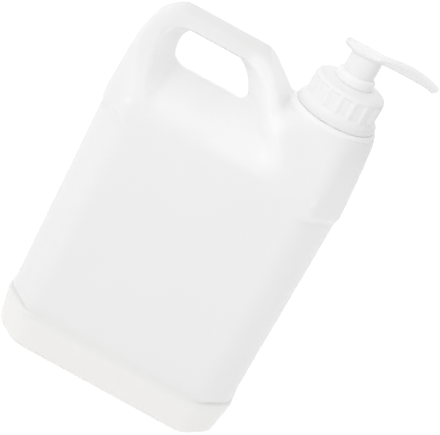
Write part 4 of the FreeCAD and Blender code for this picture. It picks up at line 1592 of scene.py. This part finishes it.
@dataclass
class PumpHead:
    """Push pad with its rear lip, arched spout and skirt."""

    skirt_low: float = 224.8
    skirt_radius: float = 9.15
    skirt_bore: float = 8.05
    ceiling: float = 246.6
    deck: float = 248.9
    socket: float = 4.52
    socket_low: float = 232.0
    socket_radius: float = 6.02
    stem_top: float = 246.0
    passage: float = 2.0
    pad_low: float = 248.4
    nose_length: float = 2.4
    section_power: float = 3.8
    rim_rise: Span = (0.5, 0.93)
    end_lean: float = 0.8
    end_lean_start: float = 36.0
    end_rounding: float = 0.5
    end_draw: float = 0.14
    mouth_radius: float = 1.15
    mouth_flare: float = 0.2
    mouth_taper: float = 0.9
    mouth_depth: float = 6.0
    section_points: int = 64
    nose_rows: int = 14
    rows: int = 160
    end_rows: int = 7
    skirt_columns: int = 160

    def sections_at(self, place: Array) -> Station:
        """Sections at places along the spout: smooth curves through the stations, with their real heights.

        Args:
            place: Places from the neck's axis.

        Returns:
            The sections' sizes as arrays.
        """
        knots, *sizes = np.array(HEAD_STATIONS).T
        half, undercut, underside, top, dish = (curve_through(place, knots, values) for values in sizes)
        return Station(place, half, undercut, self.pad_low + underside, self.pad_low + top, dish)

    def rows_along(self) -> tuple[Array, Array]:
        """Where the sections stand.

        Formula: the first ones grow from a point as a quarter ellipse does, and the last ones draw in round the
        edge of the end face.

        Returns:
            Places along the spout, and the share of its full size that each section has.
        """
        rear, tip = HEAD_STATIONS[0].place, HEAD_STATIONS[-1].place
        opening = np.linspace(0.0, QUARTER_TURN, self.nose_rows)
        closing = np.linspace(0.0, QUARTER_TURN, self.end_rows)[1:]
        nose = rear + self.nose_length * (1.0 - np.cos(opening))
        along = np.linspace(nose[-1], tip - self.end_rounding, self.rows)[1:]
        edge = tip - self.end_rounding + self.end_rounding * np.sin(closing)
        drawn_in = 1.0 - self.end_draw * (1.0 - np.cos(closing))
        return np.concatenate((nose, along, edge)), np.concatenate((np.sin(opening), np.ones(len(along)), drawn_in))

    def mouth(self, end: float, middle: float, top: float) -> Array:
        """Rings of the mouth: a flared edge on the leaning end face, a bore that tapers, and its closed end.

        Args:
            end: Place of the end face at its top.
            middle: Height of the mouth's middle.
            top: Height of the end face's top.

        Returns:
            Rings of points.
        """
        angle = even_angles(self.section_points)
        back = np.array([0.0, 0.0, self.mouth_depth, self.mouth_depth])[:, None]
        edge, bore = self.mouth_radius + self.mouth_flare, self.mouth_radius * self.mouth_taper
        radius = np.array([edge, self.mouth_radius, bore, 0.0])
        rise = np.outer(radius, np.sin(angle))
        x = end - back + self.end_lean * (rise + middle - top)
        return np.stack((x, np.outer(radius, np.cos(angle)), middle + rise), axis=-1)

    def build_top(self) -> Surface:
        """Makes the pad and spout as sections carried along the spout.

        Formula: each section is a superellipse between the underside and the top, narrower below, whose upper half
        rises to a rim by the dish. Towards the tip the sections lean with the end face, and the rings of the mouth
        follow the last one. The first section and the last ring are single points.

        Returns:
            The closed surface.
        """
        place, scale = self.rows_along()
        sizes = self.sections_at(place)
        angle = even_angles(self.section_points)
        power = 2.0 / self.section_power
        across, upright = (np.sign(wave) * np.abs(wave) ** power for wave in (np.cos(angle), np.sin(angle)))
        middle, thick = 0.5 * (sizes.underside + sizes.top), 0.5 * (sizes.top - sizes.underside)
        narrowing = 1.0 - np.outer(sizes.undercut, 0.5 - 0.5 * upright)
        rim = ramp(np.abs(across), *self.rim_rise) * (0.5 + 0.5 * upright)
        y = np.outer(sizes.half_width * scale, across) * narrowing
        z = middle[:, None] + np.outer(thick * scale, upright) + np.outer(sizes.dish * scale, rim)
        tip = HEAD_STATIONS[-1].place
        lean = self.end_lean * ramp(place, self.end_lean_start, tip)[:, None] * (z - sizes.top[:, None])
        sections = np.stack((place[:, None] + lean, y, z), axis=-1)
        mouth = self.mouth(place[-1], middle[-1], sizes.top[-1])
        points = np.concatenate((sections, mouth)) + np.array([NECK_X, 0.0, 0.0])
        index = np.arange(points[..., 0].size).reshape(points.shape[:2])
        index[0] = index[0, 0]
        index[-1] = index[-1, 0]
        quads = grid_quads(np.pad(index, ((0, 0), (0, 1)), mode="wrap").T)
        used, packed = np.unique(quads, return_inverse=True)
        # Painted light in the dish and painted shade on the rim, walls and spout.
        marks = HeadMarks().traits(np.concatenate((place, np.full(len(mouth), tip))), across, upright)
        traits = {trait: values.reshape(-1)[used] for trait, values in marks.items()}
        return Surface(points.reshape(-1, 3)[used], packed.reshape(-1, 4), None, traits)

    def build_skirt(self) -> Surface:
        """Makes the skirt, its ceiling and the socket on the stem: one outline turned about the axis.

        Returns:
            The closed surface.
        """
        outline = rounded_outline([
            Corner(self.passage, self.stem_top), Corner(self.socket, self.stem_top),
            Corner(self.socket, self.socket_low, rounding=0.2),
            Corner(self.socket_radius, self.socket_low, rounding=0.2),
            Corner(self.socket_radius, self.ceiling, rounding=0.4),
            Corner(self.skirt_bore, self.ceiling, rounding=0.4),
            Corner(self.skirt_bore, self.skirt_low, rounding=0.2),
            Corner(self.skirt_radius, self.skirt_low, rounding=0.3),
            Corner(self.skirt_radius, self.deck), Corner(self.passage, self.deck),
        ], longest=1.2)
        return turned(outline, even_angles(self.skirt_columns))

    def dress(self, finish: Finish) -> None:
        """Builds the head in its finish and hangs it on the plunger."""
        piece = self.build_top().joined(self.build_skirt()).piece("push_head")
        dress_piece(piece, finish, Body.PLUNGER, "pump_head")


# Studio


@dataclass
class Studio:
    """Pale floor, soft light and the photograph's camera."""

    target: Point = (15.96, 0.0, 121.41)
    distance: float = 830.0
    elevation: float = math.radians(24.24)
    azimuth: float = math.radians(-0.05)
    roll: float = math.radians(28.72)
    focal_pixels: float = 1432.31
    picture_width: float = 440.0
    sensor: float = 36.0
    farthest: float = 50000.0
    floor_half: float = 6000.0
    floor_tone: Colour = (0.2, 0.2, 0.2)
    floor_glow: float = 0.86
    bounce_tone: Colour = (0.3, 0.3, 0.3)
    bounce_glow: float = 0.59
    card_x: float = 125.0
    card_half_depth: float = 40.0
    card_heights: Span = (205.0, 270.0)
    card_tone: Colour = (0.55, 0.55, 0.55)
    world_left: float = 0.93
    world_right: float = 0.81
    world_top: float = 0.03
    key_power: float = 1.15
    key_size: float = 500.0
    key_place: Point = (-600.0, -700.0, 850.0)
    key_aim: Point = (0.0, 0.0, 130.0)

    def add_camera(self) -> None:
        """Sets the camera where the photograph was taken from, turned by the picture's tilt."""
        sin_a, cos_a = math.sin(self.azimuth), math.cos(self.azimuth)
        sin_e, cos_e = math.sin(self.elevation), math.cos(self.elevation)
        back = Vector((sin_a * cos_e, -cos_a * cos_e, sin_e))
        level = Vector((cos_a, sin_a, 0.0))
        upright = back.cross(level)
        right = level * math.cos(self.roll) + upright * math.sin(self.roll)
        up = upright * math.cos(self.roll) - level * math.sin(self.roll)
        lens = bpy.data.cameras.new("photo_camera")
        lens.sensor_width = self.sensor
        lens.lens = self.focal_pixels * self.sensor / self.picture_width
        lens.clip_end = self.farthest * METRES_PER_MM
        camera = stand("photo_camera", lens)
        turn = Matrix((right, up, back)).transposed().to_4x4()
        place = (Vector(self.target) + back * self.distance) * METRES_PER_MM
        camera.matrix_world = Matrix.Translation(place) @ turn
        bpy.context.scene.camera = camera

    def add_sheet(self, name: str, corners: list[Point], finish: bpy.types.Material) -> bpy.types.Object:
        """Adds a flat sheet to the scene.

        Args:
            name: Name of the sheet.
            corners: Its four corners.
            finish: Its material.

        Returns:
            The sheet.
        """
        mesh = bpy.data.meshes.new(name)
        mesh.from_pydata((np.array(corners) * METRES_PER_MM).tolist(), [], [(0, 1, 2, 3)])
        mesh.materials.append(finish)
        sheet = stand(name, mesh)
        return sheet

    def add_floor(self) -> None:
        """Lays the white floor, which keeps the object's shadow."""
        recipe = Recipe(bpy.data.materials.new("floor_white"))
        seen = recipe.lit_paper(self.floor_tone, self.floor_glow)
        felt = recipe.lit_paper(self.bounce_tone, self.bounce_glow)
        half = self.floor_half
        corners = [(-half, -half, 0.0), (half, -half, 0.0), (half, half, 0.0), (-half, half, 0.0)]
        self.add_sheet("floor", corners, recipe.close(recipe.seen_or_felt(seen, felt)))

    def add_card(self) -> None:
        """Hangs a grey card beyond the pump, out of the camera's sight, which keeps light off its right side."""
        recipe = Recipe(bpy.data.materials.new("card_grey"))
        grey = recipe.close(recipe.add("ShaderNodeBsdfDiffuse", Color=self.card_tone))
        half, x = self.card_half_depth, self.card_x
        low, high = self.card_heights
        corners = [(x, -half, low), (x, half, low), (x, half, high), (x, -half, high)]
        self.add_sheet("grey_card", corners, grey).visible_camera = False

    def add_surround(self) -> None:
        """Adds the surround, plain white where it is seen, whose light is fainter on the right and fuller above."""
        recipe = Recipe(bpy.data.worlds.new("surround"))
        bearing = recipe.add("ShaderNodeSeparateXYZ", recipe.coordinates["Generated"]).outputs
        sideways = recipe.spread(bearing["X"], self.world_left, self.world_right, -1.0, 1.0)
        upwards = recipe.spread(bearing["Z"], 0.0, self.world_top, 0.0, 1.0)
        strength = recipe.combine(Sum.ADD, sideways, upwards)
        felt = recipe.add("ShaderNodeBackground", Color=WHITE, Strength=strength)
        seen = recipe.add("ShaderNodeBackground", Color=WHITE)
        bpy.context.scene.world = recipe.close(recipe.seen_or_felt(seen, felt))

    def add_key_light(self) -> None:
        """Hangs a large soft light on the upper left, aimed at the bottle."""
        lamp = bpy.data.lights.new("key_light", "AREA")
        lamp.shape = "DISK"
        lamp.size = self.key_size * METRES_PER_MM
        lamp.energy = self.key_power
        place = Vector(self.key_place) * METRES_PER_MM
        aim = Vector(self.key_aim) * METRES_PER_MM - place
        turn = aim.to_track_quat("-Z", "Y").to_matrix().to_4x4()
        stand("key_light", lamp).matrix_world = Matrix.Translation(place) @ turn

    def set_up(self) -> None:
        """Sets the camera, floor, card, light and plain colour view."""
        self.add_camera()
        self.add_floor()
        self.add_card()
        self.add_surround()
        self.add_key_light()
        bpy.context.scene.view_settings.view_transform = "Standard"


def main() -> None:
    """Sets up the studio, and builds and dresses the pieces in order."""
    logging.basicConfig(level=logging.INFO, format="%(message)s")
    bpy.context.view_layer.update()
    Studio().set_up()
    Bottle().dress(BOTTLE_FINISH)
    for part in (Closure(), LockRing(), PumpHead()):
        part.dress(PUMP_FINISH)
    dress_carried_nodes()


if __name__ == "__main__":
    main()
